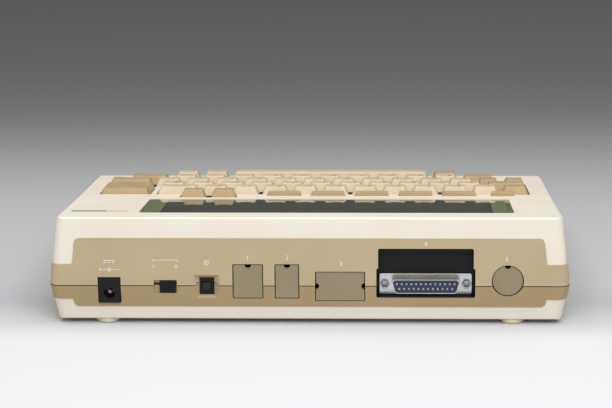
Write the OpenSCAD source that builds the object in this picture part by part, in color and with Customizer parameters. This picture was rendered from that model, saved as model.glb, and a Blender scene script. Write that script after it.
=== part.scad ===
// Notebook home computer: wedge case in two halves, display, keyboard and a row of rear ports.
// Millimetres. +Z up, the keyboard faces -Y, the ports face +Y, the origin is under the middle of the feet.

/* [Case] */
// Overall width, over the raised belt
case_w = 300; // [294:1:312]
// Overall depth, over the raised belt
case_d = 215; // [212:1:224]
// Height of the rear top edge above the table
rear_h = 64.5; // [62:0.5:70]
// How much narrower the front is than the rear, at each side
front_taper = 2.9; // [0:0.1:4]
// Height of the front top edge above the table
front_h = 35.5; // [35:0.5:38]
// Height of the crease between the display slope and the key deck
crease_h = 50.4; // [48.6:0.2:52]
// Distance of the crease behind the middle of the case
crease_y = 7; // [6.4:0.2:8]
// Height of the parting line between the two case halves
parting_h = 24.5; // [24:0.5:26]
// Lean of the side walls above the parting line, in degrees
upper_side_draft = 5.7; // [5:0.1:7]
// Lean of the front and rear walls above the parting line, in degrees
upper_end_draft = 3.6; // [3:0.2:5]
// Lean of the side walls below the parting line, in degrees
lower_side_draft = 9.5; // [8.5:0.1:13]
// Lean of the front and rear walls below the parting line, in degrees
lower_end_draft = 11; // [9:0.5:12]
// Radius of the upright corners
corner_r = 5; // [4:0.5:7]
// Width of the bevel along the top edges
top_bevel = 1; // [0.8:0.1:2]
// Width of the bevel round the underside
base_bevel = 0.9; // [0.7:0.1:2]
// Wall thickness of the mouldings
wall = 2.4; // [2.2:0.1:2.8]
// Height of the tongue where the case halves meet
tongue_h = 1.2; // [0.8:0.1:1.6]

/* [Belt and rear panel] */
// How far the belt stands proud of the case
belt_proud = 0.6; // [0.5:0.1:1.4]
// Height of the belt's top edge at the rear
belt_top_rear = 37.1; // [36:0.1:40]
// Height of the belt's top edge at the front
belt_top_front = 29; // [28:0.5:31]
// Height of the belt's bottom edge
belt_base = 16.1; // [14:0.1:17]
// Half of the gap between the belt halves
belt_gap = 0.25; // [0.2:0.05:0.5]
// Depth of the groove in the case behind that gap
groove_d = 1; // [0.6:0.1:1.1]
// Height of that groove
groove_h = 0.5; // [0.3:0.1:0.8]
// Plain belt left between the rear panel and each side of the case
panel_margin = 13.4; // [12:0.2:18]
// Height of the rear panel's top edge
panel_top = 52.4; // [51.6:0.2:56]
// Height of the rear panel's bottom edge
panel_base = 11.4; // [10:0.2:12.4]
// Lean of the rear panel's ends above and below the belt, in degrees
panel_lean = 5.4; // [3:0.2:7]
// Corner radius of the rear panel
panel_r = 3; // [2:0.5:4]

/* [Display] */
// Middle of the window, from the middle of the case
window_x = -9.4; // [-12:0.2:-6]
// Width of the window
window_w = 219; // [214:1:222]
// Depth of the window along its slope
window_d = 70.2; // [68:0.2:74]
// Distance along the slope from the crease to the window
window_inset = 5.6; // [5:0.2:7]
// Corner radius of the window
window_r = 3; // [2:0.5:4]
// Thickness of the window
pane_t = 1.6; // [1.2:0.1:1.8]
// How far the window lies below the case surface
pane_sink = 0.2; // [0.1:0.05:0.4]
// Thickness of the printed border sheet
mask_t = 0.4; // [0.3:0.1:0.6]
// Width of the printed border at the window's left and right
border_x = 12.1; // [10:0.1:14]
// Width of the printed border at the window's front and rear
border_y = 3.1; // [2.8:0.1:4]
// Thickness of the display frame
frame_t = 5.2; // [4:0.2:6]

/* [Keyboard] */
// Distance between neighbouring keys
pitch = 18.6; // [18.4:0.1:18.8]
// Middle of the top left key, from the middle of the case
first_key_x = -124.3; // [-124.6:0.1:-123.8]
// Distance along the deck from the crease to the middle of the number row
first_row = 25.4; // [25:0.1:25.8]
// Width of a key at its skirt
cap_base = 16.4; // [15.6:0.1:16.6]
// Height of the key tops above the deck
cap_h = 4.8; // [4.4:0.1:5.8]
// How far the left and right flanks of a key lean in
flank_in = 2.1; // [1.6:0.1:2.4]
// How far the rear flank of a key leans in
rear_in = 2.4; // [1.8:0.1:2.8]
// How far the front flank of a key leans in
front_in = 1.2; // [0.8:0.1:1.6]
// How far the skirts reach below the deck surface
skirt = 1; // [0.8:0.1:1.2]
// Wall thickness of a key
cap_wall = 1.2; // [1:0.1:1.3]
// Depth of the finger dish in a key top
dish = 0.5; // [0.3:0.1:0.8]
// Radius of a key stem
stem_r = 2; // [1.8:0.1:2.1]
// Key travel
key_travel = 3; // [2.6:0.1:3.2]
// Gap between the keys and the edge of the case opening
key_gap = 0.7; // [0.5:0.1:0.7]
// Height of the function bars above the deck
bar_h = 2.7; // [2.2:0.1:3.4]
// Depth of a function bar
bar_d = 4.8; // [4.4:0.1:5]
// Width of a function bar
bar_w = 21; // [19:0.2:22]
// Distance between neighbouring function bars
bar_pitch = 26.96; // [26:0.02:27.2]
// Middle of the first function bar
bar_x = -89.3; // [-90:0.1:-88]
// Middle of the stop bar
stop_x = -115.9; // [-116.4:0.1:-115]
// Width of the stop bar
stop_w = 14.2; // [13:0.2:15]
// Travel of the function bars
bar_travel = 1.8; // [1.4:0.1:2]
// Middle of the square of cursor keys
cursor_x = 117.7; // [117.4:0.1:118]
// Width of the square of cursor keys
cursor_w = 30.9; // [29:0.1:31]
// Depth of the square of cursor keys
cursor_d = 34.4; // [33:0.1:34.8]
// Height of the middle of the cursor keys above the deck
cursor_h = 4.2; // [4:0.1:5.2]
// Gap between neighbouring cursor keys
cursor_gap = 0.7; // [0.6:0.1:0.9]
// Side of the two tall edit keys
edit_w = 15.2; // [14.4:0.2:15.6]

/* [Rear ports] */
// Middle of the power inlet
inlet_place = 115.2; // [114:0.2:117]
// Radius of the power inlet's hole
inlet_r = 3.25; // [2.8:0.05:3.4]
// Middle of the protect switch
protect_place = 82.7; // [81:0.1:84]
// Travel of the protect slider
protect_travel = 2.7; // [2:0.1:2.9]
// Middle of the reset button
reset_place = 58.9; // [58:0.1:60]
// Travel of the reset button
reset_travel = 1.5; // [1:0.1:2]
// Middle of the wider serial cover
sio1_place = 35.1; // [34:0.1:36]
// Width of the wider serial cover
sio1_w = 16.8; // [16:0.1:18]
// Middle of the narrower serial cover
sio2_place = 12.6; // [12:0.1:13]
// Width of the narrower serial cover
sio2_w = 13.3; // [12.6:0.1:14]
// Height of both serial covers
sio_h = 19.8; // [19:0.1:20.4]
// Middle of the bar-code port
bcr_place = -18; // [-19:0.1:-17]
// Width of the bar-code cover
bcr_w = 27.9; // [27:0.1:28.6]
// Height of the bar-code cover
bcr_h = 17; // [16:0.1:17.6]
// Middle of the 25-way serial port
serial_place = -67.2; // [-68:0.1:-66.6]
// Width of the serial port's recess
serial_w = 56.8; // [56.4:0.1:57.4]
// Middle of the cassette port
cassette_place = -114.2; // [-115:0.1:-113.6]
// Gap round the port covers
cover_gap = 0.45; // [0.35:0.05:0.5]
// Radius of the cassette port's cover
cassette_r = 8.8; // [8.4:0.1:9]

/* [Side controls and underside] */
// Travel of the power slide
power_travel = 4; // [3:0.5:5]
// Radius of the contrast wheel
dial_r = 9; // [8:0.5:9.5]
// Radius of a foot where it meets the case
foot_r = 7; // [6:0.5:8]
// Height of the feet
foot_h = 3; // [2.8:0.1:3.4]
// Distance of the feet from the sides of the case
foot_inset = 32.4; // [30:0.2:35]
// Distance of the feet from the front and rear of the case
foot_inset_y = 12.5; // [12:0.5:15]
// Radius of a battery cell
cell_r = 7.25; // [7:0.05:7.25]
// Length of a battery cell
cell_l = 50; // [49:0.5:50.5]
// Radius of a case screw
screw_r = 1.45; // [1.3:0.05:1.5]

/* [Fits] */
// Gap round covers, sliders and lids
fit = 0.3; // [0.25:0.05:0.35]
// Running clearance of a stem or pin in its bore
run = 0.08; // [0.05:0.01:0.1]

/* [Hidden] */

$fn = 64;
corner_steps = 10;
eps = 0.01;
big = 400;

cream = "#efe8da";
tan_upper = "#b9aa8a";
tan_key = "#bf9b69";
key_cream = "#e6dcc3";
cover_grey = "#9c937b";
black_plastic = "#333236";

// Case form
body_w = case_w - 2 * belt_proud;
body_d = case_d - 2 * belt_proud;
base_z = foot_h;
lower_h = parting_h - base_z;
upper_h = rear_h - parting_h;
rear_top_y = body_d / 2 - upper_h * tan(upper_end_draft);
deck_angle = atan((crease_h - front_h) / (crease_y + body_d / 2));
slope_angle = atan((rear_h - crease_h) / (rear_top_y - crease_y));

// Keyboard levels, measured from the deck surface
plate_t = 1.2;
plate_top = -skirt - key_travel - 1.4;
cap_roof = 1.4;
housing_top = -0.9;
cursor_fall = 0.8;
// a switch housing ends below the roof of its key when the key is pressed
cursor_housing_top = cursor_h - cursor_fall - cap_wall - key_travel - fit - 0.1;
bar_skirt = 1.6;
bar_housing_top = -bar_skirt - bar_travel - 0.4;
stem_tip = -1.9;
dish_rim = 0.4;
bar_row = 12.1;
edit_row = 9;
edit_d = edit_w - 1.6;
// how far a switch housing lies inside its key's outline, so that a pressed key clears it
housing_in = cap_wall + fit
    + max(flank_in, rear_in) * (housing_top + key_travel + skirt) / (cap_h - cap_roof + skirt);
cursor_row = 34.45;

// Display levels, measured from the case surface
mask_z = -pane_sink - pane_t - mask_t;
rim_t = 1.4;
rim_z = mask_z - rim_t;
ledge = 2.5;
view_w = window_w - 2 * border_x;
view_d = window_d - 2 * border_y;
slope_window = window_inset + window_d / 2;

// The ports stand further apart on a wider panel and closer on a narrower one
usual_panel_half = 136.6;
spread = (case_w / 2 - panel_margin) / usual_panel_half;
inlet_x = inlet_place * spread;
protect_x = protect_place * spread;
reset_x = reset_place * spread;
sio1_x = sio1_place * spread;
sio2_x = sio2_place * spread;
bcr_x = bcr_place * spread;
serial_x = serial_place * spread;
cassette_x = cassette_place * spread;

// Rear port levels
cover_y = body_d / 2 - 0.6;
cover_t = 2;
socket_y = body_d / 2 - 5.5;
board_z = 10.5;
board_t = 1.6;
board_top = board_z + board_t;
sio_z = 26.9;
bcr_z = 24;
cassette_z = 27.6;
inlet_size = [12.7, 15.3];
inlet_z = 21.55;
inlet_hole_z = 19.9;
inlet_depth = 10;
protect_size = [13.3, 8];
protect_z = 23.8;
slider_size = [9.4, 7.2];
slot_h = 2.4;
reset_mouth = [14.7, 14.7];
reset_throat = [8.6, 10.2];
reset_z = 22.4;
reset_throat_z = 23.6;
button_w = 4.7;
serial_base = 17.2;
serial_step = 34.9;
serial_top = 46.5;
serial_z = 23.9;
liner = 2;
serial_floor_y = body_d / 2 - 7.5;
flange = [53.04, 12.5, 1];
screw_spacing = 47.04;
jack_r = 1.53;
shell_len = 5.8;
shell_size = [38.9, 8.4];
shell_wall = 0.45;
can_size = [41, 10.4];
can_len = 9;
tail_size = [38, 6];
contact_pitch = 2.76;
contact_rows = 2.84;
notch_r = 1.8;

// Side controls
power_y = body_d / 2 - 54.5;
power_size = [18, 7];
power_z = 20.6;
knob_len = 8;
dial_y = power_y - 30;
dial_z = 21;
dial_t = 3.4;
dial_slot = [16, 4.6];
recess_depth = 2.6;
slot_cover_size = [66, 11];
slot_cover_y = 10;
slot_cover_z = 22.8;

// Underside
floor_z = base_z + wall;
post_x = body_w / 2 - 11;
post_y = body_d / 2 - 11;
post_r = 4.5;
head_r = 3;
head_h = 2;
head_z = base_z + 5;
screw_len = 26;
bay = [2 * cell_l + 3, 4 * cell_r + 1.6];
bay_pos = [body_w / 2 - 83, -(body_d / 2 - 60.5)];
bay_wall = 1.6;
lid_margin = 2; // from a bay's edge out to its lid's
bay_top = base_z + wall + 2 * cell_r + 1.4;
bay_cover = [bay[0] + 2 * lid_margin, bay[1] + 2 * lid_margin];
memory_size = [60, 40];
memory_pos = [-(body_w / 2 - 79), 6];
lid_t = 2;
buzzer_r = 11;
buzzer_h = 3.6;

// Main board
board_x = body_w / 2 - 23;
board_front = -(body_d / 2 - 22.5);
board_rear = body_d / 2 - 10.5;
chip_h = 3.4;
chips = [[-90, -46, 36, 14], [-40, -46, 36, 14], [8, -44, 30, 14], [60, -56, 34, 14],
    [-40, -136, 50, 14], [-100, -136, 20, 20]];
pin_r = 1.3;
standoff_r = 3.2;
standoffs = [[-board_x + 6, board_rear - 20], [0, board_rear - 12], [board_x - 8, board_rear - 26],
    [-board_x + 6, board_front + 14], [-10, board_front + 10], [-6, 30]];

// ---------- helpers ----------

module rounded_rect(w, d, r) {
    square([w - 2 * r, d], center = true);
    square([w, d - 2 * r], center = true);
    for (x = [-1, 1], y = [-1, 1])
        translate([x * (w / 2 - r), y * (d / 2 - r)]) circle(r);
}

// Points of an arc about c, from angle a to angle b
function arc(c, r, a, b) = [for (i = [0:corner_steps]) let (t = a + (b - a) * i / corner_steps)
    c + r * [cos(t), sin(t)]];

// The case seen from above: w across at the rear, narrower at the front, d deep
module plan(w, d, r) {
    slant = atan(front_taper / (d - 2 * r));
    half = concat(arc([w / 2 - front_taper - r, r - d / 2], r, -90, -slant),
        arc([w / 2 - r, d / 2 - r], r, -slant, 90));
    polygon(concat(half, [for (i = [len(half) - 1:-1:0]) [-half[i][0], half[i][1]]]));
}

// How far the side of the case lies inside its rear width at depth y
function taper_at(y) = front_taper * (body_d / 2 - corner_r - y) / (body_d - 2 * corner_r);

// A block on that outline whose four sides lean in as it rises by h
module leaning_block(w, d, r, h, side, end) {
    linear_extrude(h, scale = [1 - 2 * h * tan(side) / w, 1 - 2 * h * tan(end) / d], slices = 1)
        plan(w, d, r);
}

// The case form above the parting line, grown outwards by g and lowered by drop
module upper_form(g, drop) {
    intersection() {
        translate([0, 0, parting_h])
            leaning_block(body_w + 2 * g, body_d + 2 * g, corner_r + g, upper_h + 2,
                upper_side_draft, upper_end_draft);
        translate([0, 0, -drop]) top_planes();
    }
}

// Everything below the key deck and the display slope
module top_planes() {
    rise = tan(slope_angle) * (big - crease_y);
    fall = tan(deck_angle) * (big + crease_y);
    rotate([90, 0, 90]) linear_extrude(big, center = true)
        polygon([[-big, -big], [big, -big], [big, crease_h + rise], [crease_y, crease_h],
            [-big, crease_h - fall]]);
}

// The case form below the parting line, grown outwards by g, from height z up
module lower_form(g, z) {
    h = parting_h - z;
    translate([0, 0, parting_h]) mirror([0, 0, 1])
        leaning_block(body_w + 2 * g, body_d + 2 * g, corner_r + g, h,
            lower_side_draft, lower_end_draft);
}

// A square bar along the edge from p to q that cuts a bevel of width s
module bevel_cut(p, q, s) {
    v = q - p;
    l = norm(v);
    translate(p) rotate([0, acos(v[2] / l), atan2(v[1], v[0])])
        translate([0, 0, -5]) linear_extrude(l + 10) rotate(45) square(s * sqrt(2), center = true);
}

function side_x(z, y) = body_w / 2 - taper_at(y) - (z - parting_h) * tan(upper_side_draft);
function end_y(z) = body_d / 2 - (z - parting_h) * tan(upper_end_draft);
function low_side_x(z, y) = body_w / 2 - taper_at(y) - (parting_h - z) * tan(lower_side_draft);
function low_end_y(z) = body_d / 2 - (parting_h - z) * tan(lower_end_draft);

module top_bevels() {
    for (s = [-1, 1]) {
        front = [s * side_x(front_h, -body_d / 2), -body_d / 2, front_h];
        crease = [s * side_x(crease_h, crease_y), crease_y, crease_h];
        rear = [s * side_x(rear_h, rear_top_y), rear_top_y, rear_h];
        bevel_cut(front, crease, top_bevel);
        bevel_cut(crease, rear, top_bevel);
    }
    bevel_cut([-body_w / 2, rear_top_y, rear_h], [body_w / 2, rear_top_y, rear_h], top_bevel);
    bevel_cut([-body_w / 2, -end_y(front_h), front_h], [body_w / 2, -end_y(front_h), front_h],
        top_bevel);
}

// Places children on the key deck: x across, y up the slope from the crease, z out of the deck
module on_deck() {
    translate([0, crease_y, crease_h]) rotate([deck_angle, 0, 0]) children();
}

// Places children on the display slope, in the same way
module on_slope() {
    translate([0, crease_y, crease_h]) rotate([slope_angle, 0, 0]) children();
}

// A plate lying in the XZ plane, from y back by t
module rear_plate(x, z, w, h, y, t, r) {
    translate([x, y, z]) rotate([90, 0, 0]) linear_extrude(t) rounded_rect(w, h, r);
}

// A hole along Y from y back by t
module rear_hole(x, z, r, y, t) {
    translate([x, y, z]) rotate([90, 0, 0]) cylinder(r = r, h = t);
}

// ---------- key layout ----------

function col(n) = first_key_x + n * pitch;
function row(n) = -first_row - n * pitch;

// Each key: x, row, width in pitches
number_places = concat([for (i = [1:10]) [col(i), 0, 1]], [[col(11.25), 0, 1.5]]);
upper_places = [for (i = [0:10]) [col(i + 1.5), 1, 1]];
middle_places = [for (i = [0:10]) [col(i + 1.75), 2, 1]];
lower_places = [for (i = [0:9]) [col(i + 2.25), 3, 1]];
escape_place = [col(0), 0, 1];
tab_place = [col(0.25), 1, 1.5];
control_place = [col(-0.0625), 2, 0.875];
caps_place = [col(0.8125), 2, 0.875];
return_place = [col(13.05), 2, 1.6];
left_shift_place = [col(1.125), 3, 1.25];
right_shift_place = [col(12.5), 3, 1.5];
graph_place = [col(2.25), 4, 1];
space_place = [col(6.25), 4, 7];
mode_place = [col(10.25), 4, 1];
code_place = [col(11.25), 4, 1];
all_places = concat(number_places, upper_places, middle_places, lower_places,
    [escape_place, tab_place, control_place, caps_place, return_place, left_shift_place,
    right_shift_place, graph_place, space_place, mode_place, code_place]);

// Left and right ends of the case opening in each row
row_spans = [[col(-0.5), col(12)], [col(-0.5), col(12)], [col(-0.5), col(13.85)],
    [col(0.5), col(13.25)], [col(1.75), col(11.75)]];
edit_x = [col(9.68), col(10.68)];
bar_places = concat([[stop_x, stop_w]], [for (i = [0:4]) [bar_x + i * bar_pitch, bar_w]]);

// Each cursor key: offset of its stem from the middle of the square
cursor_out_y = cursor_d / 2 - 6.1;
cursor_out_x = cursor_w / 2 - 6.1;
cursor_stems = [[0, cursor_out_y], [0, -cursor_out_y], [-cursor_out_x, 0], [cursor_out_x, 0]];

function cap_w(units) = units * pitch - (pitch - cap_base);

// A flank profile: base width w, leaning in by a on the left and b on the right up to height h
module flank(w, a, b, h, z) {
    polygon([[-w / 2, z], [w / 2, z], [w / 2 - b, h], [-w / 2 + a, h]]);
}

// The wedge-sided form of a key, shrunk by wall thickness t and ending at height h
module cap_form(w, d, h, t, z) {
    intersection() {
        rotate([90, 0, 0]) linear_extrude(d + 2, center = true)
            flank(w - 2 * t, flank_in, flank_in, h, z);
        rotate([90, 0, 90]) linear_extrude(w + 2, center = true)
            flank(d - 2 * t, front_in, rear_in, h, z);
    }
}

module stem(r, top, tip) {
    translate([0, 0, tip]) cylinder(r = r, h = top - tip);
}

// One hollow key with stems at the given offsets; sag is the depth of its dish
module keycap(w, d, sag, stems) {
    chord = w - 2 * flank_in - 2 * dish_rim;
    dish_r = (chord * chord / 4 + sag * sag) / (2 * max(sag, eps));
    difference() {
        cap_form(w, d, cap_h, 0, -skirt);
        cap_form(w, d, cap_h - cap_roof, cap_wall, -skirt - eps);
        if (sag > 0)
            translate([0, 0, cap_h - sag + dish_r]) rotate([90, 0, 0])
                cylinder(r = dish_r, h = d + 2, center = true, $fn = 128);
    }
    for (x = stems)
        translate([x, 0, 0]) stem(stem_r, cap_h - cap_roof + 0.3, stem_tip);
}

function stems_of(units) = units > 6 ? [-2.5 * pitch, 0, 2.5 * pitch] : [0];

module key_at(place) {
    on_deck() translate([place[0], row(place[1]), 0])
        keycap(cap_w(place[2]), cap_base, place[2] > 6 ? 0 : dish, stems_of(place[2]));
}

module keys_at(places) {
    for (p = places) key_at(p);
}

module edit_key(i) {
    color(tan_key) on_deck() translate([edit_x[i], -edit_row, 0])
        keycap(edit_w, edit_d, dish, [0]);
}

// A low bar with leaning flanks and a round stem
module function_bar(i) {
    place = bar_places[i];
    color(tan_key) on_deck() translate([place[0], -bar_row, 0]) {
        intersection() {
            rotate([90, 0, 0]) linear_extrude(bar_d + 2, center = true)
                flank(place[1], 0.5, 0.5, bar_h, -bar_skirt);
            rotate([90, 0, 90]) linear_extrude(place[1] + 2, center = true)
                flank(bar_d, 0.3, 0.6, bar_h, -bar_skirt);
        }
        stem(stem_r * 0.6, -bar_skirt + 0.5, plate_top + 0.8);
    }
}

// The square hill that the four cursor keys are cut from, shrunk by t
module cursor_hill(t, z) {
    edge_h = cursor_h - cursor_fall - t;
    peak_h = cursor_h - t;
    w = cursor_w / 2 - t;
    d = cursor_d / 2 - t;
    intersection() {
        rotate([90, 0, 0]) linear_extrude(cursor_d + 2, center = true)
            polygon([[-w, z], [w, z], [w - 1.6, edge_h], [0, peak_h], [-w + 1.6, edge_h]]);
        rotate([90, 0, 90]) linear_extrude(cursor_w + 2, center = true)
            polygon([[-d, z], [d, z], [d - 1.6, edge_h], [0, peak_h], [-d + 1.6, edge_h]]);
    }
}

// A quarter of the square between its diagonals, pulled out from the middle by inset
module cursor_sector(i, inset) {
    w = cursor_w / 2;
    d = cursor_d / 2;
    along = [inset * norm([w, d]) / w, inset * norm([w, d]) / d];
    far = 2;
    points = [
        [[0, along[0]], [w * far, d * far + along[0]], [-w * far, d * far + along[0]]],
        [[0, -along[0]], [-w * far, -d * far - along[0]], [w * far, -d * far - along[0]]],
        [[-along[1], 0], [-w * far - along[1], d * far], [-w * far - along[1], -d * far]],
        [[along[1], 0], [w * far + along[1], -d * far], [w * far + along[1], d * far]]];
    linear_extrude(60, center = true) polygon(points[i]);
}

module cursor_key(i) {
    color(tan_key) on_deck() translate([cursor_x, -cursor_row, 0]) {
        difference() {
            intersection() {
                cursor_hill(0, -skirt);
                cursor_sector(i, cursor_gap / 2);
            }
            intersection() {
                cursor_hill(cap_wall, -skirt - eps);
                cursor_sector(i, cursor_gap / 2 + cap_wall);
            }
        }
        translate(cursor_stems[i])
            stem(stem_r * 0.8, cursor_h - cursor_fall - cap_wall + 0.5, stem_tip);
    }
}

// ---------- case openings ----------

module key_openings() {
    on_deck() {
        for (i = [0:4]) {
            span = row_spans[i];
            translate([(span[0] + span[1]) / 2, row(i), 0])
                cube([span[1] - span[0] - (pitch - cap_base) + 2 * key_gap, pitch + eps, 20],
                    center = true);
        }
        translate([(edit_x[0] + edit_x[1]) / 2, -edit_row, 0])
            cube([edit_x[1] - edit_x[0] + edit_w + 2 * key_gap, edit_d + 2 * key_gap, 20],
                center = true);
        translate([cursor_x, -cursor_row, 0])
            cube([cursor_w + 2 * key_gap, cursor_d + 2 * key_gap, 20], center = true);
        for (p = bar_places)
            translate([p[0], -bar_row, 0]) cube([p[1] + 2 * fit, bar_d + 2 * fit, 20], center = true);
    }
}

module window_opening() {
    on_slope() translate([window_x, slope_window, 0]) {
        translate([0, 0, mask_z]) linear_extrude(20) rounded_rect(window_w, window_d, window_r);
        linear_extrude(20, center = true)
            rounded_rect(window_w - 2 * ledge, window_d - 2 * ledge, window_r);
    }
}

// A thicker rim under the window that the display frame sits against
module window_rim() {
    on_slope() translate([window_x, slope_window, rim_z])
        linear_extrude(-rim_z - 1) rounded_rect(window_w + 6, window_d + 6, window_r + 3);
}

// The funnel round the reset button
module reset_funnel() {
    depth = wall + belt_proud;
    outer = body_d / 2 + belt_proud;
    throat = outer - depth;
    reach = 1.4;
    intersection() {
        linear_extrude(big, center = true)
            polygon([[reset_x - reset_throat[0] / 2, throat - 20],
                [reset_x + reset_throat[0] / 2, throat - 20],
                [reset_x + reset_throat[0] / 2, throat + eps],
                [reset_x + reset_mouth[0] / 2 * reach, outer + 2],
                [reset_x - reset_mouth[0] / 2 * reach, outer + 2],
                [reset_x - reset_throat[0] / 2, throat + eps]]);
        rotate([90, 0, 90]) linear_extrude(big, center = true)
            polygon([[throat - 20, reset_throat_z - reset_throat[1] / 2],
                [throat + eps, reset_throat_z - reset_throat[1] / 2],
                [outer + 2, reset_z - reset_mouth[1] / 2 * reach],
                [outer + 2, reset_z + reset_mouth[1] / 2 * reach],
                [throat + eps, reset_throat_z + reset_throat[1] / 2],
                [throat - 20, reset_throat_z + reset_throat[1] / 2]]);
    }
}

module serial_recess() {
    rear = body_d;
    t = rear - serial_floor_y;
    rear_plate(serial_x, (serial_base + serial_step) / 2, serial_w, serial_step - serial_base,
        rear, t, 1);
    rear_plate(serial_x, (serial_base + serial_top) / 2, serial_w - 2, serial_top - serial_base,
        rear, t, 1);
    rear_plate(serial_x, serial_z, can_size[0] + 2 * fit, can_size[1] + 2 * fit, rear, rear - 20, 1);
    for (s = [-1, 1])
        rear_hole(serial_x + s * screw_spacing / 2, serial_z, 2.5 + fit, rear, rear - 20);
}

// A box of walls behind the serial recess
module serial_liner() {
    rear_plate(serial_x, (serial_base + serial_top) / 2, serial_w + 2 * liner,
        serial_top - serial_base + 2 * liner, body_d / 2 - 3.2,
        body_d / 2 - 3.2 - serial_floor_y + liner, 2);
}

module port_openings() {
    rear = body_d;
    rear_plate(inlet_x, inlet_z, inlet_size[0] + 2 * fit, inlet_size[1] + 2 * fit, rear, rear, 0.6);
    rear_plate(protect_x, protect_z, protect_size[0], protect_size[1], rear, rear - protect_face, 0.6);
    rear_plate(protect_x, protect_z, slot_h + protect_travel + 2 * fit, slot_h + 2 * fit,
        rear, rear, 0.3);
    reset_funnel();
    rear_plate(sio1_x, sio_z, sio1_w + 2 * cover_gap, sio_h + 2 * cover_gap, rear, rear, 0.6);
    rear_plate(sio2_x, sio_z, sio2_w + 2 * cover_gap, sio_h + 2 * cover_gap, rear, rear, 0.6);
    rear_plate(bcr_x, bcr_z, bcr_w + 2 * cover_gap, bcr_h + 2 * cover_gap, rear, rear, 0.6);
    serial_recess();
    rear_hole(cassette_x, cassette_z, cassette_r + cover_gap, rear, rear);
}

// Recesses and slots for the controls in the right and left walls
module side_openings() {
    right = body_w / 2 + belt_proud;
    translate([power_recess, power_y - power_size[0] / 2, power_z - power_size[1] / 2])
        cube([20, power_size[0], power_size[1]]);
    translate([right - 20, power_y - power_travel / 2 - 1.5 - fit, power_z - 1.5 - fit])
        cube([20, power_travel + 3 + 2 * fit, 3 + 2 * fit]);
    translate([right - 20, dial_y - dial_slot[0] / 2, dial_z - dial_slot[1] / 2])
        cube([30, dial_slot[0], dial_slot[1]]);
    translate([-right - 20, slot_cover_y - slot_cover_size[0] / 2 - fit,
        slot_cover_z - slot_cover_size[1] / 2 - fit])
        cube([40, slot_cover_size[0] + 2 * fit, slot_cover_size[1] + 2 * fit]);
}

// ---------- case ----------

boss_places = [[-128, -8], [38.4, -8], [92, -8], [118, -8], [-126, row(3)], [129, row(3)],
    [-112, row(4)], [110, row(4)], [-129, row(4)], [129, row(4)]];

post_rows = [-post_y, 0, post_y];

module top_case() {
    color(cream) {
        difference() {
            union() {
                difference() {
                    upper_form(0, 0);
                    upper_form(-wall, wall);
                    top_bevels();
                }
                intersection() {
                    upper_form(-wall / 2, wall / 2);
                    union() {
                        window_rim();
                        serial_liner();
                        for (x = [-post_x, post_x], y = post_rows)
                            translate([x, y, parting_h]) cylinder(r = post_r - 0.5, h = big);
                    }
                }
            }
            // step inside the lower edge for the tongue
            translate([0, 0, parting_h - eps]) linear_extrude(tongue_h + fit)
                difference() {
                    plan(body_w - wall, body_d - wall, corner_r - wall / 2);
                    plan(body_w - 3 * wall, body_d - 3 * wall, 1);
                }
            for (x = [-post_x, post_x], y = post_rows)
                translate([x, y, parting_h - 1]) cylinder(r = screw_r + 0.05, h = 12);
            window_opening();
            key_openings();
            port_openings();
            side_openings();
        }
        // bosses that carry the keyboard plate
        on_deck() for (p = boss_places)
            translate([p[0], p[1], plate_top]) cylinder(r = 2.2, h = -plate_top - wall / 2);
    }
}

module floor_openings() {
    translate([bay_pos[0], bay_pos[1], 0]) {
        linear_extrude(base_z + lid_t + fit, center = false)
            rounded_rect(bay_cover[0] + 2 * fit, bay_cover[1] + 2 * fit, 2);
        translate([0, 0, base_z]) linear_extrude(bay_top - base_z) rounded_rect(bay[0], bay[1], 1);
    }
    translate([memory_pos[0], memory_pos[1], 0]) {
        linear_extrude(base_z + lid_t + fit)
            rounded_rect(memory_size[0] + 2 * (lid_margin + fit), memory_size[1] + 2 * (lid_margin + fit), 2);
        linear_extrude(board_z) rounded_rect(memory_size[0], memory_size[1], 1);
    }
}

module bottom_case() {
    color(cream) difference() {
        union() {
            difference() {
                lower_form(0, base_z);
                lower_cavity();
                base_bevels();
                seam_groove();
            }
            intersection() {
                translate([0, 0, base_z]) lower_solid();
                union() {
                    serial_liner();
                    translate([bay_pos[0], bay_pos[1], base_z + eps])
                        linear_extrude(bay_top + bay_wall - base_z)
                            rounded_rect(bay_cover[0] + 2 * bay_wall, bay_cover[1] + 2 * bay_wall, 2);
                    translate([memory_pos[0], memory_pos[1], base_z + eps])
                        linear_extrude(lid_t + 2.4)
                            rounded_rect(memory_size[0] + 4 * lid_margin, memory_size[1] + 4 * lid_margin, 3);
                    for (x = [-post_x, post_x], y = post_rows)
                        translate([x, y, base_z + eps]) cylinder(r = post_r, h = lower_h - eps);
                    for (p = standoffs)
                        translate([p[0], p[1], floor_z - 1])
                            cylinder(r = standoff_r, h = board_z - floor_z + 1);
                    for (p = standoffs)
                        translate([p[0], p[1], floor_z]) cylinder(r = pin_r, h = board_top + 1 - floor_z);
                }
            }
            // tongue that stands inside the upper half
            translate([0, 0, parting_h - 2]) linear_extrude(tongue_h + 2) difference() {
                plan(body_w - wall - 2 * fit, body_d - wall - 2 * fit, corner_r - wall / 2 - fit);
                plan(body_w - 2 * wall, body_d - 2 * wall, corner_r - wall);
            }
        }
        for (x = [-post_x, post_x], y = post_rows) {
            translate([x, y, 0]) cylinder(r = screw_r + 0.15, h = big / 2);
            translate([x, y, 0]) cylinder(r = head_r + 0.2, h = head_z);
        }
        floor_openings();
        port_openings();
        side_openings();
    }
}

// A groove round the outside of the lower half, just below the parting line
module seam_groove() {
    translate([0, 0, parting_h - groove_h]) linear_extrude(groove_h + eps) difference() {
        plan(body_w + 4, body_d + 4, corner_r + 2);
        plan(body_w - 2 * groove_d, body_d - 2 * groove_d, corner_r - groove_d);
    }
}

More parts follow.
